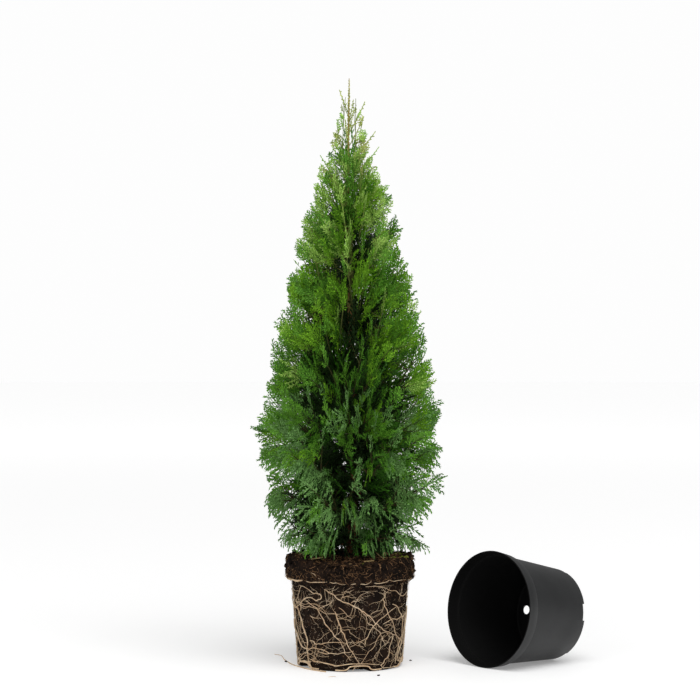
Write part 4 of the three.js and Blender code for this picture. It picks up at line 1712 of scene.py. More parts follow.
@dataclass
class RootBall:
    """The root ball in the shape of its pot: soil, crumbs, roots, hairs, straw and moss."""

    height: float = 176
    lip_radius: float = 103
    lip_height: float = 35
    body_radius: float = 95.5
    base_radius: float = 84
    trunk_pad: float = 22
    pad_height: float = 178.4
    notch_count: int = 5
    notch_first: float = -80
    notch_width: float = 40
    notch_slope: float = 4.5
    notch_height: float = 9
    notch_depth: float = 24
    columns: int = 380
    mean_radius: float = 92
    step_height: float = 134  # above it, roots climb to the lip
    lip_inset: float = 3  # of roots under the lip
    worn_from: float = 45  # radius from which the top is worn down in front
    worn_over: float = 50  # and over how much of it that grows
    wander_count: int = 95
    fine_count: int = 84
    hair_count: int = 1500
    fibre_count: int = 420
    strand_share: float = 0.62  # of a strand's radius below
    # Radius of each root that shows in front, and its points as (angle, height).
    strands: tuple[tuple[float, tuple[Mark, ...]], ...] = (
        (1.3, ((-115, 131), (-111, 127), (-105, 122), (-99, 114), (-92, 110), (-85, 104), (-79, 98),
            (-73, 91), (-68, 85), (-64, 77), (-59, 71), (-54, 65), (-49, 62), (-40, 56), (-29, 50),
            (-17, 42))),
        (0.9, ((-37, 100), (-53, 87), (-63, 76), (-68, 67), (-72, 55), (-81, 48), (-90, 40))),
        (0.9, ((-79, 98), (-74, 89), (-71, 76), (-65, 70), (-57, 60), (-62, 48), (-67, 35),
            (-72, 27), (-79, 12))),
        (1.6, ((-105, 96), (-103, 86), (-101, 77), (-99, 66), (-95, 54), (-93, 45), (-87, 31),
            (-80, 14))),
        (1.1, ((-138, 110), (-129, 103), (-123, 96), (-119, 86), (-116, 76), (-112, 70), (-108, 63),
            (-104, 54), (-99, 45), (-96, 36), (-93, 26), (-90, 19))),
        (1.9, ((-161, 98), (-153, 92), (-149, 80), (-147, 68), (-144, 60), (-141, 51), (-140, 42),
            (-142, 31), (-141, 19), (-138, 8), (-134, 2.5))),
        (1.3, ((-149, 93), (-147, 105), (-142, 112), (-135, 116), (-129, 115), (-125, 112),
            (-120, 115), (-119, 120), (-122, 123), (-127, 123), (-130, 125), (-136, 130),
            (-144, 133), (-149, 123), (-154, 113), (-157, 105))),
        (1.1, ((-136, 47), (-131, 46), (-128, 42), (-122, 43), (-114, 46), (-98, 47), (-93, 45))),
        (1.1, ((-126, 31), (-120, 29), (-115, 28), (-107, 29), (-98, 31), (-86, 34))),
        (1.4, ((-136, 17), (-129, 14), (-118, 13), (-109, 11), (-99, 11), (-80, 13), (-63, 11),
            (-56, 11))),
        (1.2, ((-54, 124), (-56, 114), (-54, 104), (-49, 91), (-42, 78), (-37, 60), (-31, 51),
            (-21, 43))),
        (1.3, ((-43, 105), (-34, 98), (-26, 86), (-21, 74), (-20, 51), (-26, 42), (-31, 22),
            (-32, 8))),
        (1.1, ((-39, 54), (-44, 36), (-44, 26), (-50, 17), (-55, 9), (-52, 4), (-41, 3), (-28, 3))),
        (0.9, ((-155, 143), (-143, 143), (-137, 143))),
        (1.0, ((-132, 143), (-124, 142), (-116, 143), (-109, 144), (-102, 143), (-94, 140))),
        (1.0, ((-89, 140), (-82, 141), (-75, 140), (-71, 146))),
        (1.0, ((-68, 142), (-59, 142), (-53, 145), (-45, 143), (-30, 143))),
        (0.8, ((-127, 157), (-121, 151), (-117, 147))),
        (0.8, ((-134, 87), (-126, 84), (-120, 84))),
        (0.8, ((-123, 99), (-115, 105), (-108, 111))),
        (0.8, ((-101, 103), (-95, 95), (-87, 86))),
        (0.8, ((-56, 56), (-54, 49), (-50, 39))),
        (0.8, ((-87, 2.5), (-83, 8))),
        (0.8, ((-98, 127), (-92, 128), (-89, 131))),
        (0.7, ((-99, 118), (-92, 121), (-84, 119))),
        (0.7, ((-89, 110), (-84, 113), (-79, 117))),
        (0.7, ((-69, 91), (-63, 96), (-56, 99))),
        (0.7, ((-98, 68), (-91, 68), (-87, 60), (-79, 52))),
        (0.8, ((-74, 44), (-74, 50), (-71, 56))),
        (0.7, ((-52, 71), (-46, 73), (-38, 69))),
    )

    def side(self, z: Any) -> Any:
        """Radius of the ball's side at a height.

        Args:
            z: The height or heights.

        Returns:
            The radius at each.
        """
        foot = self.height - self.lip_height
        share = np.clip(np.asarray(z) / foot, 0, 1)
        body = self.base_radius + (self.body_radius - self.base_radius) * share
        return np.where(np.asarray(z) > foot, self.lip_radius, body)

    def notch_at(self, turn: np.ndarray) -> np.ndarray:
        """Height of the arch in the bottom edge at each angle, 0 between the arches.

        Args:
            turn: The angles in radians.

        Returns:
            The height at each.
        """
        high = np.zeros_like(turn)
        for i in range(self.notch_count):
            middle = math.radians(self.notch_first + 360 / self.notch_count * i)
            off = np.abs(np.arctan2(np.sin(turn - middle), np.cos(turn - middle))) * self.base_radius
            rise = np.clip((self.notch_width / 2 - off) / self.notch_slope, 0, 1)
            high = np.maximum(high, rise * self.notch_height)
        return high

    def soil(self) -> bpy.types.Object:
        """The soil's skin: flat underside, arches, side, lip, ragged edge and dipping top.

        Returns:
            The piece.
        """
        foot = self.height - self.lip_height
        flat, edge = self.base_radius - 4, 2.0
        rows: list[tuple[float, float]] = [(r, 0.0) for r in np.linspace(8, flat, 10)]
        rows += [(self.side(edge), edge)]
        rows += [(float(self.side(z)), z) for z in np.linspace(5, foot - 2, 52)]
        rows += [(self.lip_radius - 2.5, foot + 1), (self.lip_radius - 0.8, foot + 3.5)]
        rows += [(self.lip_radius, z) for z in np.linspace(foot + 6, self.height - 3, 12)]
        rows += [(self.lip_radius - 0.6, self.height - 0.4)]
        top = np.linspace(self.lip_radius - 2.2, 10, 36)
        rows += [(r, self.top_height(r)) for r in top]
        turn = np.linspace(0, 2 * np.pi, self.columns, endpoint=False)
        notch = self.notch_at(turn)
        shake = np.random.default_rng(71)
        rag = sum(
            a * np.sin(k * turn + shake.uniform(0, 6.3))
            for k, a in ((5, 1.0), (11, 1.2), (17, 1.4), (29, 1.5), (43, 1.3), (71, 1.1))
        )
        lumps = [
            (a, k, m, shake.uniform(0, 6.3))
            for k, m, a in (
                (4, 0.05, 0.7), (9, 0.21, 0.7), (19, -0.33, 0.6), (33, 0.5, 0.6), (57, -0.8, 0.4),
            )
        ]
        places = []
        for r, z in rows:
            ring_z = np.full(self.columns, z)
            in_notch = (z < notch) & (notch > 0.5)
            ring_r = np.where(in_notch, min(r, self.base_radius - self.notch_depth), r)
            if z > 0:
                ring_r = ring_r - (1.0 if z > foot else 1.6)
            if z > foot:
                near = clamp((r - self.worn_from) / self.worn_over, 0, 1)
                ring_z = ring_z - self.worn(turn) * near * (z - foot) / self.lip_height
                lump = sum(a * np.sin(k * turn + m * z + p) for a, k, m, p in lumps)
                round_off = 0.4 + self.worn(turn) * 0.75
                ring_r = ring_r + lump * clamp((r - 60) / 40, 0, 1)
                if z <= self.height:
                    rising = clamp((z - foot - 12) / (self.lip_height - 12), 0, 1)
                    ring_r = ring_r - round_off * rising**2
            if z >= self.height - 0.1 and r > self.trunk_pad:
                ring_z = ring_z + rag * (0.35 + clamp((r - 70) / 30, 0, 1))
            places.append(ring(ring_r, turn, ring_z))
        base = linked("soil_base", turned_skin("soil_base", places, 0, self.pad_height))
        growth = skin_growth("soil relief", (1.0, 1.0, 1.0))
        values = {"Relief": 2.9 * MM, "Grain": 120.0, "Finish": PEAT.material()}
        return growth.run(base, "root_ball_soil", values)

    def worn(self, turn: Any) -> Any:
        """How far the ball's edge is worn down in front, at an angle in radians."""
        off = np.abs(np.arctan2(np.sin(turn + np.pi / 2), np.cos(turn + np.pi / 2)))
        return 9.0 * np.sin(np.pi / 2 * np.clip(1 - off / 1.2, 0, 1)) ** 2

    def top_height(self, r: float, turn: float | None = None) -> float:
        """Height of the soil's surface at a radius and an angle, dipping a little inside its edge.

        Args:
            r: The radius.
            turn: The angle in radians, if the worn edge counts.

        Returns:
            The height.
        """
        share = clamp((r - self.trunk_pad) / (self.lip_radius - self.trunk_pad), 0, 1)
        flat = lerp(self.pad_height, self.height + 1, share) - 5 * math.sin(math.pi * share) * share
        if turn is None:
            return flat
        return flat - float(self.worn(turn)) * clamp((r - self.worn_from) / self.worn_over, 0, 1)

    def on_side(self, angle: float, z: float, lift: float = 0.5) -> np.ndarray:
        """A point just off the ball's side at an angle in degrees and a height.

        Args:
            angle: The angle.
            z: The height.
            lift: How far off the side it is.

        Returns:
            The point.
        """
        turn = math.radians(angle)
        r = float(self.side(z)) + lift
        foot = self.height - self.lip_height
        if self.step_height < z <= foot:
            share = (z - self.step_height) / (foot - self.step_height)
            below = float(self.side(self.step_height))
            r = lerp(below, self.lip_radius - self.lip_inset, share) + lift
        return polar(r, turn, z)

    def roots(self) -> list[Path]:
        """The roots on the ball's side: those that show in front, and others by rule all round.

        Returns:
            Points and radii of each.
        """
        random = Seeded(406)
        paths = []
        for radius, marks in self.strands:
            radius = radius * self.strand_share
            bends = self.kinked(marks, random)
            points = smooth_path([self.on_side(a, z, radius * 0.45) for a, z in bends], 3)
            count = len(points) - 1
            swell = [1.05 - 0.45 * abs(2 * i / count - 0.7) for i in range(count + 1)]
            paths.append((points, [radius * s * random.between(0.82, 1.18) for s in swell]))
            paths += self.side_roots(marks, radius, random)
        for number in range(self.wander_count):
            start, height = random.between(-15, 195), random.between(30, 138)
            heading = random.between(-160, -20)
            radius = random.between(0.3, 0.8) if number % 4 else random.between(0.8, 1.3)
            steps = int(random.between(5, 14))
            paths.append(self.wander(start, height, heading, radius, steps, random))
        # Runs of root under the lip and round the bottom edge, which lap past each other.
        angle = -25.0
        while angle < 210:
            span = random.between(18, 40)
            for level, spread in ((142.5, 1.6), (4.5, 2.0), (11.0, 3.0)):
                marks = [
                    (angle + span * k / 6, level + random.between(-spread, spread)) for k in range(7)
                ]
                if level < 6:
                    high = self.notch_at(np.radians(np.array([a for a, _ in marks])))
                    marks = [(a, max(z, h + 1.2)) for (a, z), h in zip(marks, high)]
                points = smooth_path([self.on_side(a, z, 0.5) for a, z in marks], 3)
                radius = random.between(0.6, 1.25)
                paths.append(tapered(points, radius, radius))
            angle += span * random.between(0.7, 0.95)
        for i in range(self.notch_count):
            paths.append(self.arch_root(self.notch_first + 360 / self.notch_count * i, random))
        return paths

    def kinked(self, marks: tuple[Mark, ...], random: Seeded) -> list[Mark]:
        """Marks along a root with a place between each two of them, a little to one side.

        Args:
            marks: The marks.
            random: The numbers that it draws from.

        Returns:
            Those marks and the ones between them.
        """
        bends = [marks[0]]
        for (a, z), (b, y) in zip(marks[:-1], marks[1:]):
            side, rise = random.between(-1.1, 1.1), random.between(-1.5, 1.5)
            bends += [((a + b) / 2 + side, (z + y) / 2 + rise), (b, y)]
        return bends

    def fine_roots(self) -> list[Path]:
        """Thin roots all over the side, each with a few thinner ones.

        Returns:
            Points and radii of each.
        """
        random = Seeded(505)
        made = []
        for _ in range(self.fine_count):
            start, height = random.between(0, 360), random.between(8, 138)
            heading, radius = random.between(0, 360), random.between(0.22, 0.42)
            steps = int(random.between(3, 11))
            made.append(self.wander(start, height, heading, radius, steps, random, 6.0))
            for x, y, z in made[-1][0][2::3]:
                if random.next() < 0.6:
                    angle = math.degrees(math.atan2(y, x))
                    turn = heading + random.between(35, 80) * (1 if random.next() < 0.5 else -1)
                    steps = int(random.between(1, 4))
                    made.append(self.wander(angle, z, turn, radius * 0.65, steps, random, 5.0))
        return made

    def arch_root(self, middle: float, random: Seeded) -> Path:
        """The root that runs over an arch in the bottom edge.

        Args:
            middle: The angle of the arch's middle, in degrees.
            random: The numbers that it draws from.

        Returns:
            Its points and radii.
        """
        half = math.degrees(self.notch_width / 2 / self.base_radius)
        top = self.notch_height
        marks = [
            (-1.9, 3), (-1.25, 2.4), (-0.92, 5), (-0.72, top), (0, top + 1), (0.72, top), (0.92, 5),
            (1.25, 2.4), (1.9, 3),
        ]
        shaken = [(middle + k * half, z + random.between(-0.5, 0.5)) for k, z in marks]
        return tapered(smooth_path([self.on_side(a, z, 0.4) for a, z in shaken], 3), 1.1, 1.1)

    def wander(
        self, angle: float, height: float, heading: float, radius: float, steps: int, random: Seeded,
        stride: float = 11.0,
    ) -> Path:
        """One root that wanders over the ball's side.

        Args:
            angle: Where it starts round the ball, in degrees.
            height: Where it starts, in millimetres.
            heading: Its first heading: 0 runs round the ball, -90 straight down.
            radius: Its radius where it starts.
            steps: How many strides it has.
            random: The ball's numbers.
            stride: The length of each.

        Returns:
            Its points and radii.
        """
        marks = []
        for _ in range(steps + 1):
            marks.append((angle, height))
            heading += random.between(-34, 34)
            if height < 14 and math.sin(math.radians(heading)) < 0:
                heading = 180 - 8 if math.cos(math.radians(heading)) < 0 else 8
            angle += math.degrees(math.cos(math.radians(heading)) * stride / self.mean_radius)
            height = clamp(height + math.sin(math.radians(heading)) * stride, 12, 136)
        points = smooth_path([self.on_side(a, z, radius * 0.4) for a, z in marks], 3)
        return tapered(points, radius, radius * 0.4)

    def side_roots(self, marks: tuple[Mark, ...], radius: float, random: Seeded) -> list[Path]:
        """Thin roots that leave a thick one.

        Args:
            marks: The marks of the thick root.
            radius: Its radius.
            random: The numbers that it draws from.

        Returns:
            Points and radii of each.
        """
        made = []
        for (a, z), (b, y) in zip(marks[:-1], marks[1:]):
            if random.next() < 0.6 and z < self.step_height:
                run = math.degrees(math.atan2(y - z, (b - a) * 1.55))
                turn = run + random.between(30, 75) * (1 if random.next() < 0.5 else -1)
                steps = int(random.between(2, 6))
                made.append(self.wander(a, z, turn, radius * 0.4, steps, random, 6.5))
        return made

    def hairs(
        self, count: int, low: float, high: float, reach: float, thick: float, lift: float, seed: int
    ) -> list[Path]:
        """Fine hairs over a band of the side or the lip, which stand a little off the soil.

        Args:
            count: How many.
            low: Foot of the band.
            high: Top of the band.
            reach: Length of the longest.
            thick: Radius of the thickest.
            lift: How far they stand off.
            seed: Seed of their numbers.

        Returns:
            Points and radii of each.
        """
        random = Seeded(seed)
        made = []
        for number in range(count):
            angle, height = random.between(0, 360), random.between(low, high)
            heading = math.radians(random.between(0, 360))
            run = reach * random.between(0.25, 1)
            bow = random.between(-0.8, 0.8)
            off = lift * random.between(0.2, 1)
            points = []
            for k in range(4):
                t = k / 3
                a = angle + math.degrees(math.cos(heading + bow * t) * run * t / self.mean_radius)
                z = clamp(height + math.sin(heading + bow * t) * run * t, 1.5, high + 4)
                stand = off * (math.sin(math.pi * t) if number % 3 else t)
                points.append(self.on_side(a, z, 0.2 + stand))
            made.append((points, [thick * random.between(0.5, 1)] * 4))
        return made

    def floor_root(self) -> Path:
        """The thin root that trails from the front of the ball along the floor to its left.

        Returns:
            Its points and radii.
        """
        marks = [
            (-38, -86), (-60, -66), (-75, -44), (-92, -12), (-101, 18), (-109, 52), (-114, 88),
            (-126, 104),
        ]
        return tapered(smooth_path([np.array([x, y, 1.1]) for x, y in marks], 4), 1.1, 0.45)

    def crumb_shape(self) -> bpy.types.Object:
        """One crumb of peat: a lumpy ball of twenty faces and unit radius.

        Returns:
            The crumb, which isn't in the scene.
        """
        work = bmesh.new()
        bmesh.ops.create_icosphere(work, subdivisions=1, radius=1.0)
        shake = np.random.default_rng(9)
        for v in work.verts:
            v.co *= shake.uniform(0.65, 1.15)
        mesh = bpy.data.meshes.new("crumb")
        work.to_mesh(mesh)
        work.free()
        return bpy.data.objects.new("crumb", mesh)

    def strewn(
        self, name: str, ground: bpy.types.Mesh, growth: Growth, crumb: bpy.types.Object,
        finish: Finish, density: float, seed: int, heights: tuple[float, float],
        sizes: tuple[float, float],
    ) -> bpy.types.Object:
        """One joined piece of crumbs over a ground.

        Args:
            name: The piece's name.
            ground: The mesh that they lie on.
            growth: The tree that scatters them.
            crumb: The shape of each.
            finish: Their finish.
            density: How many there are in a square metre.
            seed: Seed of their places.
            heights: The lowest and highest place, in metres.
            sizes: Radius of the smallest and the largest.

        Returns:
            The piece.
        """
        values = {
            "Crumb": crumb, "Density": density, "Low": heights[0], "High": heights[1],
            "Smallest": sizes[0] * MM, "Largest": sizes[1] * MM, "Seed": seed,
            "Finish": finish.material(),
        }
        return growth.run(linked(name + "_ground", ground), name, values)

    def crumbs(self, soil: bpy.types.Object) -> list[bpy.types.Object]:
        """Crumbs of peat, cushions of moss near the edge, and bits of peat that lie on the floor.

        Args:
            soil: The soil's skin.

        Returns:
            The pieces.
        """
        growth, crumb = crumb_growth(), self.crumb_shape()
        made = []
        for name, finish, density, heights, sizes in (
            ("soil_top_crumbs", CRUMB, 60000.0, (0.163, 0.19), (0.6, 2.8)),
            ("soil_side_crumbs", CRUMB, 20000.0, (0.004, 0.140), (0.4, 1.2)),
            ("soil_lip_crumbs", CRUMB, 30000.0, (0.139, 0.164), (0.5, 2.4)),
            ("soil_clumps", PEAT, 6500.0, (0.141, 0.182), (1.8, 6.2)),
        ):
            skin = soil.data.copy()
            made.append(self.strewn(name, skin, growth, crumb, finish, density, 17, heights, sizes))
        for name, finish, heights, sizes, spots in (
            ("moss", MOSS, (0.1, 0.3), (0.9, 3.4),
             ((86, -34, 9), (70, -32, 5), (84, 14, 12), (25, -82, 4), (-58, 40, 14))),
            ("floor_crumbs", PEAT, (-0.1, 0.1), (1.3, 2.2),
             ((99.8, 36, 2.2), (45.3, -121, 2.2), (-104, 22, 3.0))),
        ):
            places = []
            for x, y, size in spots:
                lying = self.top_height(math.hypot(x, y), math.atan2(y, x)) + 1.5
                z = 1.0 if heights[0] < 0 else lying
                places += [(x + size * math.cos(k), y + size * math.sin(k), z) for k in range(6)]
            faces = [tuple(range(first, first + 6)) for first in range(0, len(places), 6)]
            ground = mesh_of(name + "_ground", np.array(places, float), faces)
            made.append(self.strewn(name, ground, growth, crumb, finish, 110000.0, 5, heights, sizes))
        bpy.data.objects.remove(crumb)
        return made

    def litter(self) -> list[Path]:
        """Straws and dry bits that lie on the soil.

        Returns:
            Points and radii of each.
        """
        random = Seeded(88)
        made = []
        for _ in range(30):
            r, turn = 98 * math.sqrt(random.between(0.08, 1)), random.between(0, 2 * math.pi)
            reach = random.between(3, 11)
            heading = random.between(0, 2 * math.pi)
            rise = random.between(-0.2, 0.7)
            middle = polar(r, turn, self.top_height(r, turn) + 3.0)
            run = np.array([math.cos(heading), math.sin(heading), rise]) * reach / 2
            made.append(([middle - run, middle + run * 0.2, middle + run], [0.35, 0.45, 0.25]))
        for x, y, dx, dy, dz in (
            (48, -42, -9, 6, 7), (54, -40, 1, 0, 8), (-52, -60, 9, 3, 1), (30, -76, 8, -2, 1),
        ):
            middle = np.array([x, y, self.top_height(math.hypot(x, y), math.atan2(y, x)) + 5.0])
            run = np.array([dx, dy, dz], float)
            made.append(([middle - run, middle, middle + run], [0.8, 0.9, 0.6]))
        return made

    def top_fibres(self) -> list[Path]:
        """Brown fibres of peat that lie on the top and curl over its edge.

        Returns:
            Points and radii of each.
        """
        random = Seeded(99)
        made = []
        for _ in range(900):
            r, turn = random.between(40, 103), random.between(0, 2 * math.pi)
            heading, bow = random.between(0, 2 * math.pi), random.between(-1.2, 1.2)
            run, lift = random.between(3, 11), random.between(1.0, 3.6)
            points = []
            for k in range(4):
                t = k / 3
                x = r * math.cos(turn) + math.cos(heading + bow * t) * run * t
                y = r * math.sin(turn) + math.sin(heading + bow * t) * run * t
                far, way = math.hypot(x, y), math.atan2(y, x)
                low = self.top_height(min(far, 101), way) - max(0.0, far - 98) * 1.2
                points.append(np.array([x, y, low + lift * (0.5 + math.sin(math.pi * t) * 0.5)]))
            made.append((points, [random.between(0.25, 0.5)] * 4))
        return made

    def floor_bits(self) -> list[Path]:
        """The bit of root that lies in front of the ball."""
        marks = [(-34, -136, 0.7), (-29, -138, 1.4), (-24, -135.5, 1.6), (-21, -137, 0.6)]
        return [([np.array(m, float) for m in marks], [0.35, 0.4, 0.35, 0.2])]

    def build(self, tube: Growth) -> dict[str, bpy.types.Object]:
        """Builds and dresses the ball's pieces.

        Args:
            tube: The tree that makes tubes.

        Returns:
            The pieces by name.
        """
        soil = self.soil()
        pieces = {soil.name: soil}
        for piece in self.crumbs(soil):
            pieces[piece.name] = piece
        hairs = self.hairs(self.hair_count, 6, 136, 7, 0.1, 3.0, 77)
        fibres = self.hairs(self.fibre_count, 140, 160, 11, 0.36, 3.0, 78) + self.top_fibres()
        roots = [*self.roots(), self.floor_root(), *self.floor_bits()]
        for name, paths, finish, sides, *skin in (
            ("roots", roots, ROOT, 6, 0.12, 400.0),
            ("fine_roots", self.fine_roots(), ROOT, 4),
            ("root_hairs", hairs, HAIR, 3),
            ("lip_fibres", fibres, FIBRE, 3),
            ("soil_straws", self.litter(), STRAW, 4),
        ):
            pieces[name] = tubes(name, paths, tube, finish.material(), sides, *skin)
        return pieces


# ---------------------------------------------------------------- pot


@dataclass
class Pot:
    """The empty nursery pot: a thin wall with a rim band, a foot ring, arches and drain holes."""

    height: float = 149
    rim_radius: float = 93.7
    rim_bottom_radius: float = 90.9
    band_height: float = 22
    body_radius: float = 87.6
    base_radius: float = 74.2
    wall: float = 1.3
    foot: float = 5
    foot_width: float = 4
    columns: int = 180
    notch_count: int = 5
    notch_first: float = 7.3
    notch_width: float = 27
    notch_height: float = 5
    hole_count: int = 5
    hole_first: float = 34.7
    hole_radius: float = 7.2
    hole_ring: float = 53
    mouth_x: float = 221.3
    mouth_y: float = -31
    turn: float = 49.3
    lift: float = 0.1

    def profile(self) -> list[tuple[float, float]]:
        """The wall's outline as (radius, height), from the floor round the rim and back.

        Returns:
            The places in order.
        """
        band = self.height - self.band_height
        base, body = self.base_radius, self.body_radius
        lip, rim = self.rim_bottom_radius, self.rim_radius
        foot_ring, floor, wall, high = base - self.foot_width, self.foot, self.wall, self.height
        return [
            (20, floor), (foot_ring - 3.4, floor), (foot_ring - 2, floor - 0.8),
            (foot_ring - 1, 0.4), (foot_ring - 0.4, 0),
            (base - 1.2, 0), (base - 0.3, 0.6), (base + 0.2, 2.2),
            *[(lerp(base + 0.2, body, t), lerp(2.2, band - 0.6, t)) for t in (0.25, 0.5, 0.75, 1)],
            (body + 0.4, band - 0.1), (lip - 0.6, band + 0.5), (lip, band + 1.6),
            (lerp(lip, rim, 0.5), lerp(band + 1.6, high, 0.5)), (rim - 0.1, high - 1.6),
            (rim, high - 0.7), (rim - 0.5, high), (rim - wall, high), (rim - wall - 0.5, high - 0.6),
            (lip - wall + 0.2, band + 4.4), (lip - wall - 0.4, band + 3.2),
            (body - wall + 0.6, band + 2.2), (body - wall, band + 1.2),
            (base - wall + 1, floor + 5), (base - wall, floor + wall + 1.2),
            (base - wall - 1.8, floor + wall), (20, floor + wall),
        ]

    def placing(self) -> Matrix:
        """The turn and place of the pot, which rests on its rim and the corner of its base.

        Returns:
            The matrix from the pot's own space to the scene, in metres.
        """
        lean = math.atan((self.rim_radius - self.base_radius) / (self.height - 2))
        turn = math.radians(self.turn)
        flat, dip = math.cos(lean), -math.sin(lean)
        axis = Vector((math.sin(turn) * flat, math.cos(turn) * flat, dip))
        side = Vector((math.cos(turn), -math.sin(turn), 0))
        z_axis = -axis
        y_axis = z_axis.cross(side)
        mouth = Vector((self.mouth_x, self.mouth_y, self.rim_radius * flat + self.lift))
        origin = (mouth + axis * self.height) * MM
        basis = Matrix((side, y_axis, z_axis)).transposed().to_4x4()
        return Matrix.Translation(origin) @ basis

    def spread(self, count: int, first: float, radius: float) -> list[Matrix]:
        """Places spread evenly round the pot from a first angle, at a radius.

        Args:
            count: How many places there are.
            first: The first angle, in degrees.
            radius: The radius.

        Returns:
            A matrix for each.
        """
        return [
            Matrix.Rotation(math.radians(first + 360 / count * i), 4, "Z")
            @ Matrix.Translation((radius * MM, 0, 0))
            for i in range(count)
        ]

    def cutter(self) -> bpy.types.Object:
        """The arches of the foot ring and the drain holes, as one object to cut away.

        Returns:
            The object, which is used up by the cut.
        """
        work = bmesh.new()
        arch = [self.foot_width * 4 * MM, self.notch_width * MM, self.notch_height * 2 * MM, 1]
        for place in self.spread(self.notch_count, self.notch_first, self.base_radius):
            bmesh.ops.create_cube(work, size=1, matrix=place @ Matrix.Diagonal(arch))
        radius = self.hole_radius * MM
        for place in self.spread(self.hole_count, self.hole_first, self.hole_ring):
            bmesh.ops.create_cone(
                work, cap_ends=True, segments=28, radius1=radius, radius2=radius, depth=30 * MM,
                matrix=place,
            )
        mesh = bpy.data.meshes.new("pot_cutter")
        work.to_mesh(mesh)
        work.free()
        return linked("pot_cutter", mesh)

    def build(self) -> bpy.types.Object:
        """Turns the wall, cuts it, lays it down and dresses it.

        Returns:
            The piece.
        """
        outline = self.profile()
        turn = np.linspace(0, 2 * np.pi, self.columns, endpoint=False)
        rings = [ring(r, turn, z) for r, z in outline]
        mesh = turned_skin("pot_wall", rings, self.foot, self.foot + self.wall)
        outward(mesh)
        wall = linked("pot_wall", mesh)
        cutter = self.cutter()
        cut = wall.modifiers.new("cut", "BOOLEAN")
        cut.operation, cut.object, cut.solver = "DIFFERENCE", cutter, "EXACT"
        graph = bpy.context.evaluated_depsgraph_get()
        made = bpy.data.meshes.new_from_object(wall.evaluated_get(graph), depsgraph=graph)
        bpy.data.objects.remove(wall)
        bpy.data.objects.remove(cutter)
        for finish in (PLASTIC, PLASTIC_PAINTED_SHADE):
            made.materials.append(finish.material())
        band = self.height - self.band_height
        heights = [0.0, band, band + 0.1, self.height]
        radii = [self.base_radius, self.body_radius, self.rim_bottom_radius, self.rim_radius]
        # Faces inside the wall and on the rim's top take the darker second finish: painted shade for
        # the pot's inside.
        for face in made.polygons:
            face.use_smooth = True
            x, y, z = (c / MM for c in face.center)
            skin = float(np.interp(z, heights, radii)) - 0.75 * self.wall
            within = z > self.foot + 0.8 and math.hypot(x, y) < skin
            face.material_index = int(within or z > self.height - 0.5)
        made.transform(self.placing())
        made.set_sharp_from_angle(angle=math.radians(32))
        return linked("nursery_pot", made)


# ---------------------------------------------------------------- studio


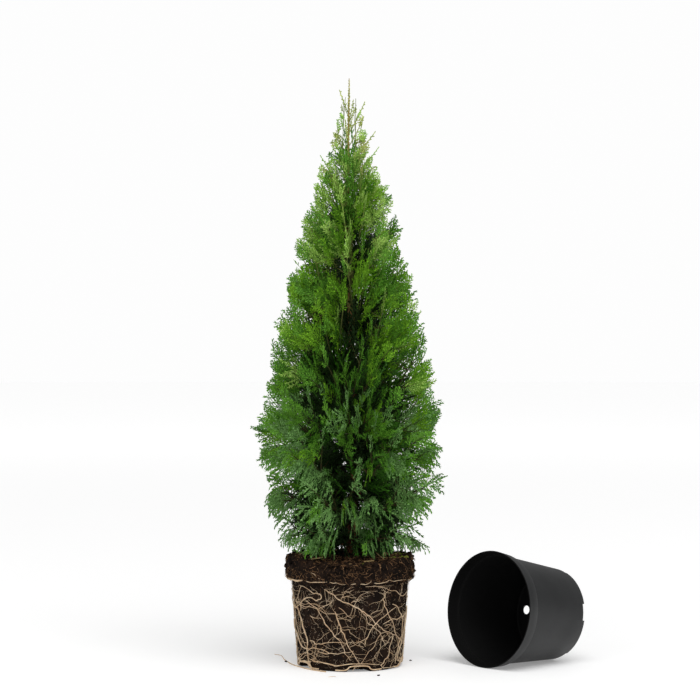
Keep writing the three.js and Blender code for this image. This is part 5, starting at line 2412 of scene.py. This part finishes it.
@dataclass
class Studio:
    """The pale floor, the soft light and the camera."""

    eye: tuple[float, float, float] = (0.0, -3.38, 0.509)
    lens: float = 107.3
    sensor: float = 36.0
    seen_sky: float = 0.985  # the pale wall that the camera sees
    lit_sky: float = 0.44  # how strongly the wall lights the plant
    floor_paint: float = 0.8
    floor_glow: float = 0.235  # the floor's own light near the plant
    far_glow: float = 0.61  # and far behind it, where it meets the wall

    def area(
        self, name: str, place: tuple[float, float, float], aim: tuple[float, float, float],
        size: float, power: float,
    ) -> None:
        """Adds a square soft light that faces a point.

        Args:
            name: The light's name.
            place: Where it hangs, in metres.
            aim: The point that it faces.
            size: The length of its side.
            power: Its power in watts.
        """
        data = bpy.data.lights.new(name, "AREA")
        data.size, data.energy = size, power
        lamp = bpy.data.objects.new(name, data)
        lamp.location = place
        lamp.rotation_euler = (Vector(aim) - Vector(place)).to_track_quat("-Z", "Y").to_euler()
        bpy.context.scene.collection.objects.link(lamp)

    def floor_finish(self) -> bpy.types.Material:
        """The floor's pale paint, which glows more the further it is from the plant.

        Returns:
            The material.
        """
        made = bpy.data.materials.new("floor_paint")
        made.use_nodes = True
        graph = Graph(made.node_tree)
        shader = made.node_tree.nodes["Principled BSDF"]
        place = graph.add("ShaderNodeTexCoord").outputs["Object"]
        far = graph.add("ShaderNodeVectorMath", {0: place}, operation="LENGTH").outputs["Value"]
        glow = graph.ranged(graph.math("POWER", far, 0.5), 0.72, 2.83, self.floor_glow, self.far_glow)
        shader.inputs["Base Color"].default_value = (*[self.floor_paint] * 3, 1)
        shader.inputs["Roughness"].default_value = 0.6
        shader.inputs["Specular IOR Level"].default_value = 0.2
        shader.inputs["Emission Color"].default_value = (1, 1, 1, 1)
        made.node_tree.links.new(glow, shader.inputs["Emission Strength"])
        return made

    def build(self) -> None:
        """Builds the studio."""
        size = 30.0
        mesh = bpy.data.meshes.new("floor")
        corners = [(-size, -size, 0), (size, -size, 0), (size, size, 0), (-size, size, 0)]
        mesh.from_pydata(corners, [], [(0, 1, 2, 3)])
        floor = linked("floor", mesh)
        floor.data.materials.append(self.floor_finish())
        world = bpy.data.worlds.new("studio")
        bpy.context.scene.world = world
        world.use_nodes = True
        graph = Graph(world.node_tree)
        seen = graph.add("ShaderNodeLightPath").outputs["Is Camera Ray"]
        strength = graph.ranged(seen, 0.0, 1.0, self.lit_sky, self.seen_sky)
        back = world.node_tree.nodes["Background"]
        back.inputs["Color"].default_value = (1, 1, 1, 1)
        world.node_tree.links.new(strength, back.inputs["Strength"])
        self.area("key", place=(0.9, -2.6, 4.9), aim=(0.05, 0, 0.35), size=4.4, power=250.0)
        self.area("fill", place=(-3.2, -3.8, 2.6), aim=(0, 0, 0.4), size=2.8, power=40.0)
        data = bpy.data.cameras.new("camera")
        data.lens, data.sensor_width = self.lens, self.sensor
        camera = bpy.data.objects.new("camera", data)
        camera.location = self.eye
        camera.rotation_euler = (math.pi / 2, 0, 0)
        bpy.context.scene.collection.objects.link(camera)
        bpy.context.scene.camera = camera
        bpy.context.scene.view_settings.view_transform = "Standard"


# ---------------------------------------------------------------- assembly


def attach(piece: bpy.types.Object, slot: str, *nodes: str) -> None:
    """Keeps a piece above the floor, rides it on the body and hides the frame's nodes that it stands
    for.

    Args:
        piece: The piece.
        slot: Not used.
        nodes: The frame's nodes that it stands for.
    """
    vertices = piece.data.vertices
    places = np.empty(len(vertices) * 3, np.float32)
    vertices.foreach_get("co", places)
    places[2::3] = np.maximum(places[2::3], 0)
    vertices.foreach_set("co", places)
    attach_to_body(piece, BODY)
    if nodes:
        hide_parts(*nodes)
    log.info("%s: %d faces", piece.name, len(piece.data.polygons))


def main() -> None:
    """Builds the studio, the plant and the pot."""
    logging.basicConfig(level=logging.INFO, format="%(message)s")
    Studio().build()
    crown = Crown()
    tube = tube_growth()

    foliage = Foliage(crown)
    bands = foliage.build()
    names: dict[int, list[str]] = {}
    for tier, row in enumerate(crown.tiers):
        for sector in range(row.sectors):
            names.setdefault(foliage.band(tier), []).append(f"foliage_{tier + 1}_{sector + 1}")
    for band, pieces in bands.items():
        for piece in pieces:
            attach(piece, "foliage_" + BANDS[band], *names[band])
    twigs = tubes("twigs", foliage.ribs, tube, TWIG.material(), 4)
    attach(twigs, "bark", *[n for group in names.values() for n in group])

    wood = Wood(crown)
    attach(wood.trunk_piece(), "bark", "trunk")
    bough_nodes = [
        f"bough_{tier + 1}_{sector + 1}"
        for tier, row in enumerate(crown.tiers)
        if row.bough
        for sector in range(row.sectors)
    ]
    attach(wood.boughs(tube), "bark", *bough_nodes)

    for piece in RootBall().build(tube).values():
        attach(piece, "soil", "root_ball")
    attach(Pot().build(), "pot", "pot")


if __name__ == "__main__":
    main()
